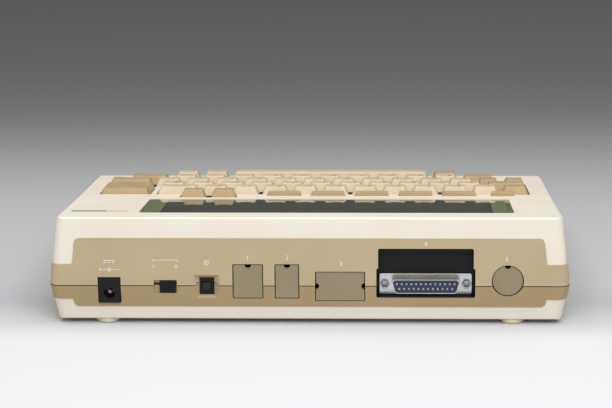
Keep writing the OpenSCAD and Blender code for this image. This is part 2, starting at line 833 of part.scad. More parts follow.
module base_bevels() {
    y = low_end_y(base_z);
    x = low_side_x(base_z, y);
    for (s = [-1, 1]) {
        bevel_cut([s * low_side_x(base_z, -y), -y, base_z], [s * x, y, base_z], base_bevel);
        bevel_cut([-x, s * y, base_z], [x, s * y, base_z], base_bevel);
    }
}

module lower_cavity() {
    translate([0, 0, parting_h + eps]) mirror([0, 0, 1])
        leaning_block(body_w - 2 * wall, body_d - 2 * wall, corner_r - wall,
            parting_h + eps - floor_z, lower_side_draft, lower_end_draft);
}

// The space that ribs and posts of the lower half may fill
module lower_solid() {
    h = parting_h - base_z;
    translate([0, 0, h]) mirror([0, 0, 1])
        leaning_block(body_w - wall, body_d - wall, corner_r - 1, h - eps,
            lower_side_draft + 2, lower_end_draft + 2);
}

// ---------- belt ----------

module panel_outline(z0, z1) {
    half = case_w / 2 - panel_margin;
    lean = tan(panel_lean);
    top_half = half - (z1 - belt_top_rear) * lean - panel_r;
    low_half = half - (belt_base - z0) * lean - panel_r;
    union() {
        polygon([[-low_half, z0], [low_half, z0], [low_half + panel_r, z0 + panel_r], [half, belt_base],
            [half, belt_top_rear], [top_half + panel_r, z1 - panel_r], [top_half, z1],
            [-top_half, z1], [-top_half - panel_r, z1 - panel_r], [-half, belt_top_rear],
            [-half, belt_base], [-low_half - panel_r, z0 + panel_r]]);
        for (s = [-1, 1]) {
            translate([s * top_half, z1 - panel_r]) circle(panel_r, $fn = 32);
            translate([s * low_half, z0 + panel_r]) circle(panel_r, $fn = 32);
        }
    }
}

module rear_panel() {
    rotate([90, 0, 0]) mirror([0, 0, 1]) linear_extrude(body_d) panel_outline(panel_base, panel_top);
}

module upper_belt() {
    color(tan_upper) difference() {
        intersection() {
            translate([0, 0, belt_gap]) upper_form(belt_proud, 0);
            union() {
                rotate([90, 0, 90]) linear_extrude(big, center = true)
                    polygon([[-case_d / 2, 0], [case_d / 2, 0], [case_d / 2, belt_top_rear],
                        [-case_d / 2, belt_top_front]]);
                rear_panel();
            }
        }
        upper_form(0, -big);
        port_openings();
        side_openings();
    }
}

module lower_belt() {
    color(tan_upper) difference() {
        intersection() {
            translate([0, 0, -belt_gap]) lower_form(belt_proud, base_z);
            union() {
                translate([-big / 2, -big / 2, belt_base]) cube([big, big, big]);
                rear_panel();
            }
        }
        lower_form(0, 0);
        port_openings();
        side_openings();
    }
}

// ---------- display ----------

module display_window() {
    color("#20262a", 0.5) on_slope() translate([window_x, slope_window, mask_z + mask_t])
        linear_extrude(pane_t)
            rounded_rect(window_w - 2 * fit, window_d - 2 * fit, window_r - fit);
}

module display_mask() {
    color("#5f6b4b") on_slope() translate([window_x, slope_window, mask_z])
        linear_extrude(mask_t) difference() {
            rounded_rect(window_w - 2 * fit, window_d - 2 * fit, window_r - fit);
            rounded_rect(view_w, view_d, 1);
        }
}

module display_frame() {
    color("silver") on_slope() translate([window_x, slope_window, rim_z - frame_t])
        difference() {
            linear_extrude(frame_t) rounded_rect(window_w, window_d, 2);
            translate([0, 0, -eps]) linear_extrude(frame_t - 1)
                rounded_rect(view_w + 8, view_d, 1);
            linear_extrude(big) rounded_rect(view_w, view_d - 4, 1);
        }
}

module display_panel() {
    color("#4c5048") on_slope() translate([window_x, slope_window, rim_z - frame_t + 0.4])
        linear_extrude(frame_t - 1.5) rounded_rect(view_w + 8 - fit, view_d - fit, 0.9);
}

// ---------- keyboard carrier ----------

plate_rear = -1.6;
plate_front = row(4) - 10.2;
plate_half = post_x - post_r - 0.8;

module keyboard_plate() {
    color("#8d9093") on_deck() difference() {
        translate([-plate_half, plate_front, plate_top - plate_t])
            cube([2 * plate_half, plate_rear - plate_front, plate_t]);
        for (p = bar_places)
            translate([p[0], -bar_row, plate_top - 5]) cylinder(r = 1.8, h = 10);
    }
}

module switch_housing(w, d, top, bore) {
    difference() {
        translate([-w / 2, -d / 2, plate_top]) cube([w, d, top - plate_top]);
        translate([0, 0, plate_top - 1]) cylinder(r = bore + run, h = 10);
    }
}

module key_switches() {
    color(black_plastic) on_deck() {
        for (p = all_places, x = stems_of(p[2]))
            translate([p[0] + x, row(p[1]), 0])
                switch_housing(min(cap_w(p[2]), cap_base) - 2 * housing_in, cap_base - 2 * housing_in,
                    housing_top, stem_r);
        for (x = edit_x)
            translate([x, -edit_row, 0])
                switch_housing(edit_w - 2 * housing_in, edit_d - 2 * housing_in, housing_top, stem_r);
        for (p = cursor_stems)
            translate([cursor_x + p[0], -cursor_row + p[1], 0])
                switch_housing(6.2, 6.2, cursor_housing_top, stem_r * 0.8);
        for (p = bar_places)
            translate([p[0], -bar_row, 0])
                switch_housing(7, 4.2, bar_housing_top, stem_r * 0.6);
    }
}

// ---------- inside ----------

module main_board() {
    color("#3f6b45") difference() {
        translate([-board_x, board_front, board_z])
            cube([2 * board_x, board_rear - board_front, board_t]);
        translate([bay_pos[0], bay_pos[1], 0])
            linear_extrude(big, center = true)
                rounded_rect(bay_cover[0] + 2 * bay_wall + 1, bay_cover[1] + 2 * bay_wall + 1, 2);
        for (p = standoffs) translate([p[0], p[1], 0]) cylinder(r = pin_r + run, h = 40);
    }
    color(black_plastic) for (c = chips)
        translate([c[0] - c[2] / 2, board_rear + c[1] - c[3] / 2, board_top]) cube([c[2], c[3], chip_h]);
}

// A D-shaped outline, wider at the top
module d_outline(w, h) {
    lean = h * tan(10);
    cut = 1.2;
    polygon([[-w / 2 + lean + cut, -h / 2], [w / 2 - lean - cut, -h / 2],
        [w / 2 - lean, -h / 2 + cut], [w / 2, h / 2 - cut], [w / 2 - cut, h / 2],
        [-w / 2 + cut, h / 2], [-w / 2, h / 2 - cut], [-w / 2 + lean, -h / 2 + cut]]);
}

module serial_port_shell() {
    front = serial_floor_y + flange[2];
    color("silver") difference() {
        union() {
            rear_plate(serial_x, serial_z, flange[0], flange[1], front, flange[2], 1);
            translate([serial_x, front + shell_len, serial_z]) rotate([90, 0, 0])
                linear_extrude(shell_len + 0.5) d_outline(shell_size[0], shell_size[1]);
            rear_plate(serial_x, serial_z, can_size[0], can_size[1], front - 0.5, can_len, 0.5);
            for (s = [-1, 1])
                rear_hole(serial_x + s * screw_spacing / 2, serial_z, 2.4, front - 0.5, 5.5);
        }
        translate([serial_x, front + shell_len + 1, serial_z]) rotate([90, 0, 0])
            linear_extrude(shell_len + can_len + 5)
                d_outline(shell_size[0] - 2 * shell_wall, shell_size[1] - 2 * shell_wall);
        for (s = [-1, 1])
            rear_hole(serial_x + s * screw_spacing / 2, serial_z, jack_r, front + 1, 12);
    }
}

module serial_port_insert() {
    front = serial_floor_y + flange[2];
    tip = front + shell_len - 0.3;
    back = front - 0.5 - can_len - fit;
    color("#2b3350") difference() {
        union() {
            translate([serial_x, tip, serial_z]) rotate([90, 0, 0])
                linear_extrude(tip - back + 0.2)
                    d_outline(shell_size[0] - 2 * shell_wall - 0.2, shell_size[1] - 2 * shell_wall - 0.2);
            // tail with the solder pins, standing on the board
            translate([serial_x - tail_size[0] / 2, back - tail_size[1], board_top])
                cube([tail_size[0], tail_size[1], serial_z - board_top + 4]);
        }
        for (i = [0:12])
            rear_hole(serial_x + (i - 6) * contact_pitch, serial_z + contact_rows / 2, contact_r,
                tip + 1, contact_depth);
        for (i = [0:11])
            rear_hole(serial_x + (i - 5.5) * contact_pitch, serial_z - contact_rows / 2, contact_r,
                tip + 1, contact_depth);
    }
}

socket_depth = 14;
socket_margin = 1.5; // from the edge of a port to the socket behind it
contact_r = 0.6;
contact_depth = 6;
pin_count_1 = 4; // contact rows of the first small serial socket
pin_count_2 = 3;
sio_pin_r = 0.7;
sio_pin_rows = 12; // from the first row to the last
round_socket_r = 6.6;
round_pins_r = 4.4; // circle that the round socket's contacts stand on
round_pins = 8;
round_pin_step = 38;

// A socket block standing on the board, with its face at socket_y
module socket_block(x, w, top) {
    translate([x - w / 2, socket_y - socket_depth, board_top])
        cube([w, socket_depth, top - board_top]);
}

module sio_socket(x, w, count) {
    difference() {
        socket_block(x, w - 2 * socket_margin, sio_z + sio_h / 2 - 1 - socket_margin);
        for (i = [0:count - 1], s = [-1, 1])
            rear_hole(x + s * 1.8, sio_z - sio_pin_rows / 2 + i * sio_pin_rows / (count - 1), sio_pin_r,
                socket_y + 1, contact_depth);
    }
}

module sio_sockets() {
    color(black_plastic) {
        sio_socket(sio1_x, sio1_w, pin_count_1);
        sio_socket(sio2_x, sio2_w, pin_count_2);
    }
}

module bcr_socket() {
    color(black_plastic) difference() {
        socket_block(bcr_x, bcr_w - 2 * socket_margin, bcr_z + bcr_h / 2 - 2);
        for (i = [0:4])
            rear_hole(bcr_x + (i - 2) * contact_pitch, bcr_z + contact_rows / 2, contact_r,
                socket_y + 1, contact_depth);
        for (i = [0:3])
            rear_hole(bcr_x + (i - 1.5) * contact_pitch, bcr_z - contact_rows / 2, contact_r,
                socket_y + 1, contact_depth);
    }
}

module cassette_socket() {
    color(black_plastic) difference() {
        socket_block(cassette_x, 2 * cassette_r - 1, cassette_z + cassette_r - 1);
        rear_hole(cassette_x, cassette_z, round_socket_r, socket_y + 1, 2);
        for (i = [0:round_pins - 1])
            let (a = (i - (round_pins - 1) / 2) * round_pin_step)
                rear_hole(cassette_x + round_pins_r * sin(a), cassette_z + round_pins_r * cos(a), contact_r,
                    socket_y, contact_depth - 1);
    }
}

inlet_body = 15; // depth of its block
inlet_pin_r = 1;
inlet_pin_back = 2.4; // from its face in to the pin's tip

module power_inlet() {
    face = body_d / 2 - 0.2;
    color(black_plastic) {
        difference() {
            union() {
                rear_plate(inlet_x, inlet_z, inlet_size[0], inlet_size[1], face, inlet_body, 0.4);
                translate([inlet_x - inlet_size[0] / 2, face - inlet_body - 2, board_top])
                    cube([inlet_size[0], 8, inlet_z - board_top]);
            }
            rear_hole(inlet_x, inlet_hole_z, inlet_r, face + 1, inlet_depth + 1);
        }
        rear_hole(inlet_x, inlet_hole_z, inlet_pin_r, face - inlet_pin_back, inlet_depth - 2);
    }
}

// ---------- switches and sliders ----------

protect_box = [16, 9]; // width and depth of the switch behind the slide
protect_reach = 2.6; // how far the slide's neck goes into its switch
reset_box = [12, 10];
reset_flange = 1.6; // how much wider the button is behind its hole
power_box = 20;
knob_neck = 3; // width of the power slide's neck
power_reach = 3.5;
spindle_r = 1.5;
spindle_bracket = 8;
knob_rib = 0.8;
knob_rib_pitch = 2.2;

protect_face = body_d / 2 - 1.2;
protect_back = body_d / 2 - wall - fit - 0.8;
protect_rest = protect_x - protect_travel / 2;
reset_face = body_d / 2 - 2.2;

module protect_slider() {
    color(black_plastic) difference() {
        union() {
            rear_plate(protect_rest, protect_z, slider_size[0], slider_size[1], body_d / 2 + 0.3,
                body_d / 2 + 0.3 - protect_face - fit, 0.5);
            rear_plate(protect_rest, protect_z, slot_h, slot_h, protect_face + 1,
                protect_face + 1 - protect_back + protect_reach, 0.3);
        }
        for (i = [-1:1])
            translate([protect_rest + i * knob_rib_pitch - knob_rib / 2, body_d / 2 - 0.1, protect_z - 10])
                cube([knob_rib, 5, 20]);
    }
}

module reset_button() {
    color(black_plastic) {
        rear_plate(reset_x, reset_throat_z, button_w, button_w, reset_face + 0.8, 5, 0.8);
        rear_plate(reset_x, reset_throat_z, button_w + reset_flange, button_w + reset_flange,
            reset_face - 1.8, 2.4, 0.8);
    }
}

module switch_bodies() {
    color(black_plastic) {
        // protect switch
        difference() {
            union() {
                rear_plate(protect_x, protect_z, protect_size[0] - 2, protect_size[1] - 2,
                    protect_back, 4, 0.5);
                translate([protect_x - protect_box[0] / 2, protect_back - protect_box[1] - 2.4, board_top])
                    cube([protect_box[0], protect_box[1], protect_z + 5 - board_top]);
            }
            rear_plate(protect_x, protect_z, slot_h + protect_travel + 2 * fit, slot_h + 2 * fit,
                protect_back + 1, 1 + protect_reach + fit, 0.3);
        }
        // reset switch
        difference() {
            union() {
                rear_plate(reset_x, reset_throat_z, reset_throat[0] - fit, reset_throat[1] - fit,
                    reset_face, 5, 0.5);
                translate([reset_x - reset_box[0] / 2, reset_face - reset_box[1] - 4, board_top])
                    cube([reset_box[0], reset_box[1], reset_throat_z + 6 - board_top]);
            }
            rear_plate(reset_x, reset_throat_z, button_w + 2 * fit, button_w + 2 * fit,
                reset_face + 1, 3, 0.8);
            rear_plate(reset_x, reset_throat_z, button_w + reset_flange + 2 * fit,
                button_w + reset_flange + 2 * fit, reset_face - 1.5, 2.7 + reset_travel + fit, 0.8);
        }
        // power switch
        difference() {
            translate([board_x - 4, power_y - power_box / 2, board_top])
                cube([power_inner - board_x + 3.4, power_box, power_z + 4 - board_top]);
            translate([power_inner - power_reach - 0.5, power_y - (power_travel + knob_neck) / 2 - fit,
                power_z - knob_neck / 2 - fit])
                cube([10, power_travel + knob_neck + 2 * fit, knob_neck + 2 * fit]);
        }
        // bracket and spindle that carry the contrast wheel
        translate([board_x - 4, dial_y - spindle_bracket / 2, board_top])
            cube([dial_x + 7 - board_x, spindle_bracket, dial_z - dial_t / 2 - fit - board_top]);
        translate([dial_x, dial_y, board_top])
            cylinder(r = spindle_r, h = dial_z + dial_t / 2 - board_top + 1);
    }
}

power_inner = body_w / 2 - taper_at(power_y) - wall - 2.4;
power_recess = body_w / 2 - taper_at(power_y) + belt_proud - recess_depth;
dial_x = body_w / 2 - taper_at(dial_y) + belt_proud - 1 - dial_r;

module power_knob() {
    y = power_y - power_travel / 2;
    color(black_plastic) difference() {
        union() {
            translate([power_recess + fit, y - knob_len / 2, power_z - 2.8])
                cube([recess_depth - 0.9 - fit, knob_len, 5.6]);
            translate([power_inner - power_reach, y - knob_neck / 2, power_z - knob_neck / 2])
                cube([power_recess + 1 - power_inner + power_reach, knob_neck, knob_neck]);
        }
        for (i = [-2:2])
            translate([power_recess + recess_depth - 1.4, y + i * 1.4 - 0.35, power_z - 5])
                cube([2, 0.7, 10]);
    }
}

module contrast_dial() {
    grooves = 36;
    color(black_plastic) translate([dial_x, dial_y, dial_z - dial_t / 2]) difference() {
        cylinder(r = dial_r, h = dial_t);
        translate([0, 0, -1]) cylinder(r = spindle_r + run, h = dial_t + 2);
        for (i = [0:grooves - 1]) rotate(i * 360 / grooves)
            translate([dial_r + 0.1, 0, -1]) cylinder(r = 0.45, h = dial_t + 2, $fn = 4);
    }
}

// ---------- covers ----------

cover_lip = 1.4; // thickness of the lip behind a cover
cover_step = 1.2; // from the cover's edge in to the lip's
lid_rib = [1, 12];
lid_rib_pitch = 2.4;

// A flush plate with a thinner lip behind it; round finger notches are cut at the given places
module port_cover(x, z, w, h, notches) {
    difference() {
        union() {
            rear_plate(x, z, w, h, cover_y, cover_t, 0.5);
            rear_plate(x, z, w - 2 * cover_step, h - 2 * cover_step, cover_y - cover_t + eps, cover_lip,
                0.5);
        }
        for (n = notches) rear_hole(x + n[0], z + n[1], notch_r, cover_y + 1, 6);
    }
}

module sio1_cover() {
    color(cover_grey) port_cover(sio1_x, sio_z, sio1_w, sio_h, [[0, sio_h / 2 - 0.4]]);
}

module sio2_cover() {
    color(cover_grey) port_cover(sio2_x, sio_z, sio2_w, sio_h, [[0, sio_h / 2 - 0.4]]);
}

module bcr_cover() {
    color(cover_grey) port_cover(bcr_x, bcr_z, bcr_w, bcr_h, [[-bcr_w / 2, 0], [bcr_w / 2, 0]]);
}

module cassette_cover() {
    color(cover_grey) difference() {
        union() {
            rear_hole(cassette_x, cassette_z, cassette_r, cover_y, cover_t);
            rear_hole(cassette_x, cassette_z, cassette_r - cover_lip, cover_y - cover_t + eps, cover_lip);
        }
        rear_hole(cassette_x, cassette_z + cassette_r - 0.2, notch_r, cover_y + 1, 6);
    }
}

module lid(pos, w, d) {
    translate([pos[0], pos[1], base_z]) difference() {
        linear_extrude(lid_t) rounded_rect(w, d, 2);
        // finger ribs across the lid
        for (i = [-2:2])
            translate([i * lid_rib_pitch - lid_rib[0] / 2, -lid_rib[1] / 2, -1])
                cube([lid_rib[0], lid_rib[1], 1.6]);
    }
}

module battery_cover() {
    color(cream) lid(bay_pos, bay_cover[0], bay_cover[1]);
}

module memory_cover() {
    color(cream) lid(memory_pos, memory_size[0] + 2 * lid_margin, memory_size[1] + 2 * lid_margin);
}

module battery_cells() {
    color("#7a7f86") for (i = [-1, 1], j = [-1, 1])
        translate([bay_pos[0] + i * (cell_l / 2 + 0.25), bay_pos[1] + j * (cell_r + 0.2),
            base_z + lid_t + 0.3 + cell_r])
            rotate([0, 90, 0]) {
                cylinder(r = cell_r, h = cell_l - 1.2, center = true);
                translate([0, 0, cell_l / 2 - 0.7]) cylinder(r = 2.6, h = 1.2, center = true);
            }
}

module slot_cover() {
    bottom = slot_cover_z - slot_cover_size[1] / 2;
    x = -low_side_x(bottom, slot_cover_y) - belt_proud + 0.3;
    color(tan_upper) translate([x, slot_cover_y, bottom])
        rotate(atan(front_taper / (body_d - 2 * corner_r)))
            translate([0, -slot_cover_size[0] / 2, 0])
                cube([2.2, slot_cover_size[0], slot_cover_size[1]]);
}

module buzzer() {
    color(black_plastic) translate([-board_x + 26, board_front + 20, floor_z]) difference() {
        cylinder(r = buzzer_r, h = buzzer_h);
        translate([0, 0, buzzer_h - 0.6]) cylinder(r = buzzer_r / 9, h = 2);
    }
}

module feet() {
    x = case_w / 2 - foot_inset;
    y = case_d / 2 - foot_inset_y;
    flat_r = foot_r * 0.6;
    rise = (foot_r * foot_r - flat_r * flat_r + foot_h * foot_h) / (2 * foot_h);
    dome_r = norm([flat_r, rise]);
    color(key_cream) for (i = [-1, 1], j = [-1, 1])
        translate([i * x, j * y, 0]) intersection() {
            translate([0, 0, rise]) sphere(dome_r);
            cylinder(r = foot_r + 1, h = foot_h);
        }
}

module case_screws() {
    color("#9a9a96") for (x = [-post_x, post_x], y = post_rows)
        translate([x, y, head_z - head_h]) {
            difference() {
                cylinder(r = head_r, h = head_h);
                translate([0, 0, -eps]) cylinder(r = 1.2, h = 1);
            }
            cylinder(r = screw_r, h = screw_len);
        }
}

// ---------- parts ----------

top_case();
bottom_case();
upper_belt();
lower_belt();
display_window();
display_mask();
display_panel();
display_frame();
keyboard_plate();
key_switches();
main_board();
serial_port_shell();
serial_port_insert();
power_inlet();
protect_slider();
reset_button();
switch_bodies();
sio_sockets();
bcr_socket();
cassette_socket();
sio1_cover();
sio2_cover();
bcr_cover();
cassette_cover();
battery_cover();
battery_cells();
memory_cover();
power_knob();
contrast_dial();
slot_cover();
buzzer();
feet();
case_screws();
function_bar(0);  // stop_bar
function_bar(1);  // function_bar_1
function_bar(2);  // function_bar_2
function_bar(3);  // function_bar_3
function_bar(4);  // function_bar_4
function_bar(5);  // function_bar_5
edit_key(0);  // edit_key_1
edit_key(1);  // edit_key_2
cursor_key(0);  // cursor_up
cursor_key(1);  // cursor_down
cursor_key(2);  // cursor_left
cursor_key(3);  // cursor_right
color(tan_key) key_at(escape_place);  // escape_key
color(tan_key) key_at(tab_place);  // tab_key
color(tan_key) key_at(control_place);  // control_key
color(tan_key) key_at(caps_place);  // caps_key
color(tan_key) key_at(left_shift_place);  // left_shift
color(tan_key) key_at(right_shift_place);  // right_shift
color(tan_key) key_at(return_place);  // return_key
color(tan_key) key_at(graph_place);  // graph_key
color(key_cream) key_at(space_place);  // space_bar
color(key_cream) key_at(mode_place);  // mode_key
color(key_cream) key_at(code_place);  // code_key
color(key_cream) keys_at(number_places);  // number_keys
color(key_cream) keys_at(upper_places);  // upper_letter_keys
color(key_cream) keys_at(middle_places);  // middle_letter_keys
color(key_cream) keys_at(lower_places);  // lower_letter_keys
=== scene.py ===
import math

import bmesh
import bpy
import numpy as np
from mathutils import Matrix


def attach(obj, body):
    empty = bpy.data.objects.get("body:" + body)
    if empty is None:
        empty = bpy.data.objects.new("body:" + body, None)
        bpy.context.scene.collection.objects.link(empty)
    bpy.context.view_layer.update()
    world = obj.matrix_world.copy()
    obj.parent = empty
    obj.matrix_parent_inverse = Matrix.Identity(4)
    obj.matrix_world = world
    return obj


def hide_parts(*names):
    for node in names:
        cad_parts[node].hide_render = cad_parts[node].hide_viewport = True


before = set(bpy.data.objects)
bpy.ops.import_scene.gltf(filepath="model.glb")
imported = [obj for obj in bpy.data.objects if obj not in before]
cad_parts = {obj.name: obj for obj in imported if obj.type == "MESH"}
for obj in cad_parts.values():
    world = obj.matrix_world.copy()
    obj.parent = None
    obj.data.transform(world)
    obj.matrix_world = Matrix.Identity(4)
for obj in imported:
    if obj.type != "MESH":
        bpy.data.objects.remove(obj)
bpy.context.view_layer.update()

MM = 0.001

# ---------- sizes repeated from the part, in millimetres ----------

# Case: depth, seam, front and rear edges, the crease between the two slopes, and the leaning rear.
BODY_D, PARTING_H = 213.8, 24.5
FRONT_H, REAR_H = 35.5, 64.5
CREASE_Y, CREASE_H = 7.0, 50.4
UPPER_END_DRAFT = math.radians(3.6)
REAR_Y = BODY_D / 2
REAR_TOP_Y = REAR_Y - (REAR_H - PARTING_H) * math.tan(UPPER_END_DRAFT)
DECK_ANGLE = math.atan((CREASE_H - FRONT_H) / (CREASE_Y + REAR_Y))
SLOPE_ANGLE = math.atan((REAR_H - CREASE_H) / (REAR_TOP_Y - CREASE_Y))
# Belt: how far it stands out, and where its upper half starts above the seam.
BELT_PROUD, BELT_GAP = 0.6, 0.25

# Key grid: the pitch, the middle of the first column and that of the first row below the crease.
PITCH, FIRST_KEY_X, FIRST_ROW = 18.6, -124.3, 25.4
# A key: its base, its height, the depth of its dish, the lean of its flanks, and its roof.
CAP_BASE, CAP_H, DISH, CAP_FLANK_IN, CAP_ROOF = 16.4, 4.8, 0.5, 2.1, 1.4
EDIT_W, EDIT_D, EDIT_ROW, EDIT_COLUMNS = 15.2, 13.6, 9.0, (9.68, 10.68)
# A stem: its radius, the height of its tip, the chamfer there, and how far it reaches into the roof.
STEM_R, STEM_TIP, STEM_CHAMFER, STEM_ROOT = 2.0, -1.9, 0.3, 0.2
SPACE_STEMS = (-2.5 * PITCH, 0.0, 2.5 * PITCH)
# Stop bar and function bars.
BAR_D, BAR_H, BAR_ROW, BAR_ROOF = 4.8, 2.7, 12.1, 1.0
BAR_STEM_R, BAR_STEM_TIP, BAR_STEM_CHAMFER = STEM_R * 0.6, -4.6, 0.2
STOP_X, STOP_W = -115.9, 14.2
FUNCTION_X, FUNCTION_PITCH, FUNCTION_W = -89.3, 26.96, 21.0

# Rear panel and right side: middles of the openings, and the serial connector's faces and pitches.
SERIAL_X, SERIAL_Z, PROTECT_X = -67.2, 23.9, 82.7
INLET_X, INLET_Z = 115.2, 19.9
POWER_Y = REAR_Y - 54.5
FLANGE_Y = REAR_Y - 6.5
INSERT_Y = FLANGE_Y + 5.5
CONTACT_PITCH, CONTACT_ROWS, SCREW_SPACING = 2.76, 2.84, 47.04

FOOT_X, FOOT_Y, FOOT_R, FOOT_H = 117.6, 95.0, 7.0, 3.0


# ---------- objects ----------

def new_object(name, data):
    """A new object in the scene."""
    made = bpy.data.objects.new(name, data)
    bpy.context.scene.collection.objects.link(made)
    return made


def placed(right, up, back, place):
    """The matrix of an object at place whose X, Y and Z axes are right, up and back."""
    turn = np.eye(4)
    turn[:3, 0], turn[:3, 1], turn[:3, 2], turn[:3, 3] = right, up, back, place
    return Matrix(turn.tolist())


# ---------- camera ----------

CAMERA_AT, CAMERA_LENS = (-0.04467, 1.42577, 0.42577), 140.95
CAMERA_YAW, CAMERA_PITCH, CAMERA_ROLL = 0.0348271, 0.261081, -0.00757052


def aim_camera(place, yaw, pitch, roll, lens):
    """Looks from place towards -Y, turned by yaw, tipped down by pitch and rolled by roll. Its axes
    are its right, its up and the reverse of its view direction."""
    level = np.array([math.sin(yaw), -math.cos(yaw), 0.0])
    side = np.array([-math.cos(yaw), -math.sin(yaw), 0.0])
    up = np.array([0.0, 0.0, 1.0])
    view = level * math.cos(pitch) - up * math.sin(pitch)
    top = up * math.cos(pitch) + level * math.sin(pitch)
    right = side * math.cos(roll) + top * math.sin(roll)
    crown = top * math.cos(roll) - side * math.sin(roll)
    data = bpy.data.cameras.new("camera")
    data.sensor_width = 36.0
    data.lens = lens
    data.clip_end = 20.0
    camera = new_object("camera", data)
    camera.matrix_world = placed(right, crown, -view, place)
    bpy.context.scene.camera = camera


aim_camera(CAMERA_AT, CAMERA_YAW, CAMERA_PITCH, CAMERA_ROLL, CAMERA_LENS)
bpy.context.scene.view_settings.view_transform = "Standard"


# ---------- colours and nodes ----------

# Sockets of a Mix node for colours: its factor, its two colours and its result.
MIX_FACTOR, MIX_A, MIX_B, MIX_RESULT = 0, 6, 7, 2


def linear(code):
    """An sRGB hex value as linear light: v / 12.92 in the toe, else ((v + 0.055) / 1.055) ** 2.4."""
    v = np.array([int(code[i:i + 2], 16) / 255 for i in (1, 3, 5)])
    v = np.where(v <= 0.04045, v / 12.92, ((v + 0.055) / 1.055) ** 2.4)
    return (*v.tolist(), 1.0)


def add(tree, kind, settings=None, links=None):
    """Adds one node, gives its properties and inputs their settings, and links its other inputs."""
    made = tree.nodes.new("ShaderNode" + kind)
    for key, value in (settings or {}).items():
        if isinstance(key, str) and hasattr(made, key) and key not in made.inputs:
            setattr(made, key, value)
        else:
            made.inputs[key].default_value = value
    for key, socket in (links or {}).items():
        tree.links.new(socket, made.inputs[key])
    return made


def either(tree, first, second):
    """The larger of two values, so 1 where either of two tests is 1."""
    return add(tree, "Math", {"operation": "MAXIMUM"}, {0: first, 1: second}).outputs["Value"]


def new_material(name):
    """A new node material, its tree, and the object coordinates in it, which are in metres."""
    made = bpy.data.materials.new(name)
    made.use_nodes = True
    made.node_tree.nodes.clear()
    return made, made.node_tree, add(made.node_tree, "TexCoord").outputs["Object"]


def moulded(name, light, dark, rough, grain_mm, relief_mm, patch_mm=40.0, metallic=0.0, **fixed):
    """A surface whose colour drifts between two close shades in patches of patch_mm, with a grain
    of grain_mm that stands relief_mm high and a roughness that drifts a little with the patches."""
    made, tree, where = new_material(name)
    patches = add(tree, "TexNoise", {"Scale": 1000 / patch_mm, "Detail": 3.0, "Roughness": 0.55},
                  {"Vector": where})
    shade = add(tree, "MapRange", {"From Min": 0.3, "From Max": 0.7},
                {"Value": patches.outputs["Fac"]})
    colour = add(tree, "Mix", {"data_type": "RGBA", MIX_A: linear(dark), MIX_B: linear(light)},
                 {MIX_FACTOR: shade.outputs["Result"]})
    sheen = add(tree, "MapRange", {"From Min": 0.3, "From Max": 0.7, "To Min": rough - 0.04,
                                   "To Max": rough + 0.04}, {"Value": patches.outputs["Fac"]})
    grain = add(tree, "TexNoise", {"Scale": 1000 / grain_mm, "Detail": 2.0}, {"Vector": where})
    bump = add(tree, "Bump", {"Strength": 1.0, "Distance": relief_mm * MM},
               {"Height": grain.outputs["Fac"]})
    surface = add(tree, "BsdfPrincipled", {"Metallic": metallic, **fixed},
                  {"Base Color": colour.outputs[MIX_RESULT], "Normal": bump.outputs["Normal"],
                   "Roughness": sheen.outputs["Result"]})
    add(tree, "OutputMaterial", None, {"Surface": surface.outputs["BSDF"]})
    return made


# In each: name, light and dark shade, roughness, grain, relief, and the patches if not 40 mm wide.

# ABS from a spark-eroded mould: warm off-white, an even fine grain, slightly yellowed in patches.
# The real grain is about 0.1 mm, drawn here at 0.8 mm so that it shows.
cream_abs = moulded("cream_abs_spark_eroded", "#f1ebdf", "#ede5d5", 0.52, 0.8, 0.02, IOR=1.54)
# Satin paint over ABS: khaki tan, a little smoother than the bare moulding.
tan_paint = moulded("tan_satin_paint", "#bfae8c", "#b9a784", 0.46, 0.7, 0.014, IOR=1.5)
# The same paint on the lower half, darker: painted shade for the half that faces a little downward.
tan_paint_shaded_low = moulded("tan_satin_paint_lower_shaded", "#b19a74", "#ab936c", 0.46, 0.7, 0.014, IOR=1.5)
# PBT keys: dense and evenly coloured, polished a little by fingers.
tan_pbt = moulded("tan_pbt_keys", "#baa279", "#b39a70", 0.38, 0.5, 0.008, 14.0, IOR=1.57)
cream_pbt = moulded("cream_pbt_keys", "#dacaad", "#d3c2a2", 0.36, 0.5, 0.008, 14.0, IOR=1.57)
# The same PBT on the bars, a little darker and less polished.
bar_pbt = moulded("tan_pbt_bars", "#b59d77", "#ad946e", 0.4, 0.5, 0.008, 14.0, IOR=1.57)
# ABS port covers: taupe grey, satin from the mould.
taupe_abs = moulded("taupe_abs_covers", "#988c71", "#908369", 0.48, 0.6, 0.012, 20.0, IOR=1.54)
# Black ABS and nylon of switches and sockets: nearly black, with a soft sheen.
black_nylon = moulded("black_nylon_switch_parts", "#181718", "#121213", 0.46, 0.5, 0.012, 9.0,
                      **{"Specular IOR Level": 0.25})
# Polished black ABS of the reset button.
black_gloss = moulded("black_gloss_button", "#1d1e20", "#17181a", 0.28, 0.5, 0.005, 9.0,
                      **{"Specular IOR Level": 0.35})
# Glass-filled PBT of the connector's insulator: dark blue, matt.
blue_pbt = moulded("blue_pbt_insulator", "#2c3350", "#262c46", 0.5, 0.4, 0.01, 8.0, IOR=1.57)
# Zinc-plated steel of the screws and nuts: grey, faintly cloudy, with a fine grain.
zinc_steel = moulded("zinc_plated_steel", "#b9bcbf", "#a9adb1", 0.36, 0.9, 0.006, 11.0,
                     metallic=1.0)
# Tin plate of the connector's shell and contacts: brighter and smoother than zinc.
tin_plate = moulded("tin_plated_shell", "#d6d7d6", "#c8c9c8", 0.27, 0.8, 0.004, 7.0, metallic=1.0)
# Nickel plating of the inlet's centre pin: grey, turned smooth.
nickel_pin = moulded("nickel_contact_pin", "#96938c", "#86837c", 0.34, 0.6, 0.004, 5.0,
                     metallic=1.0)
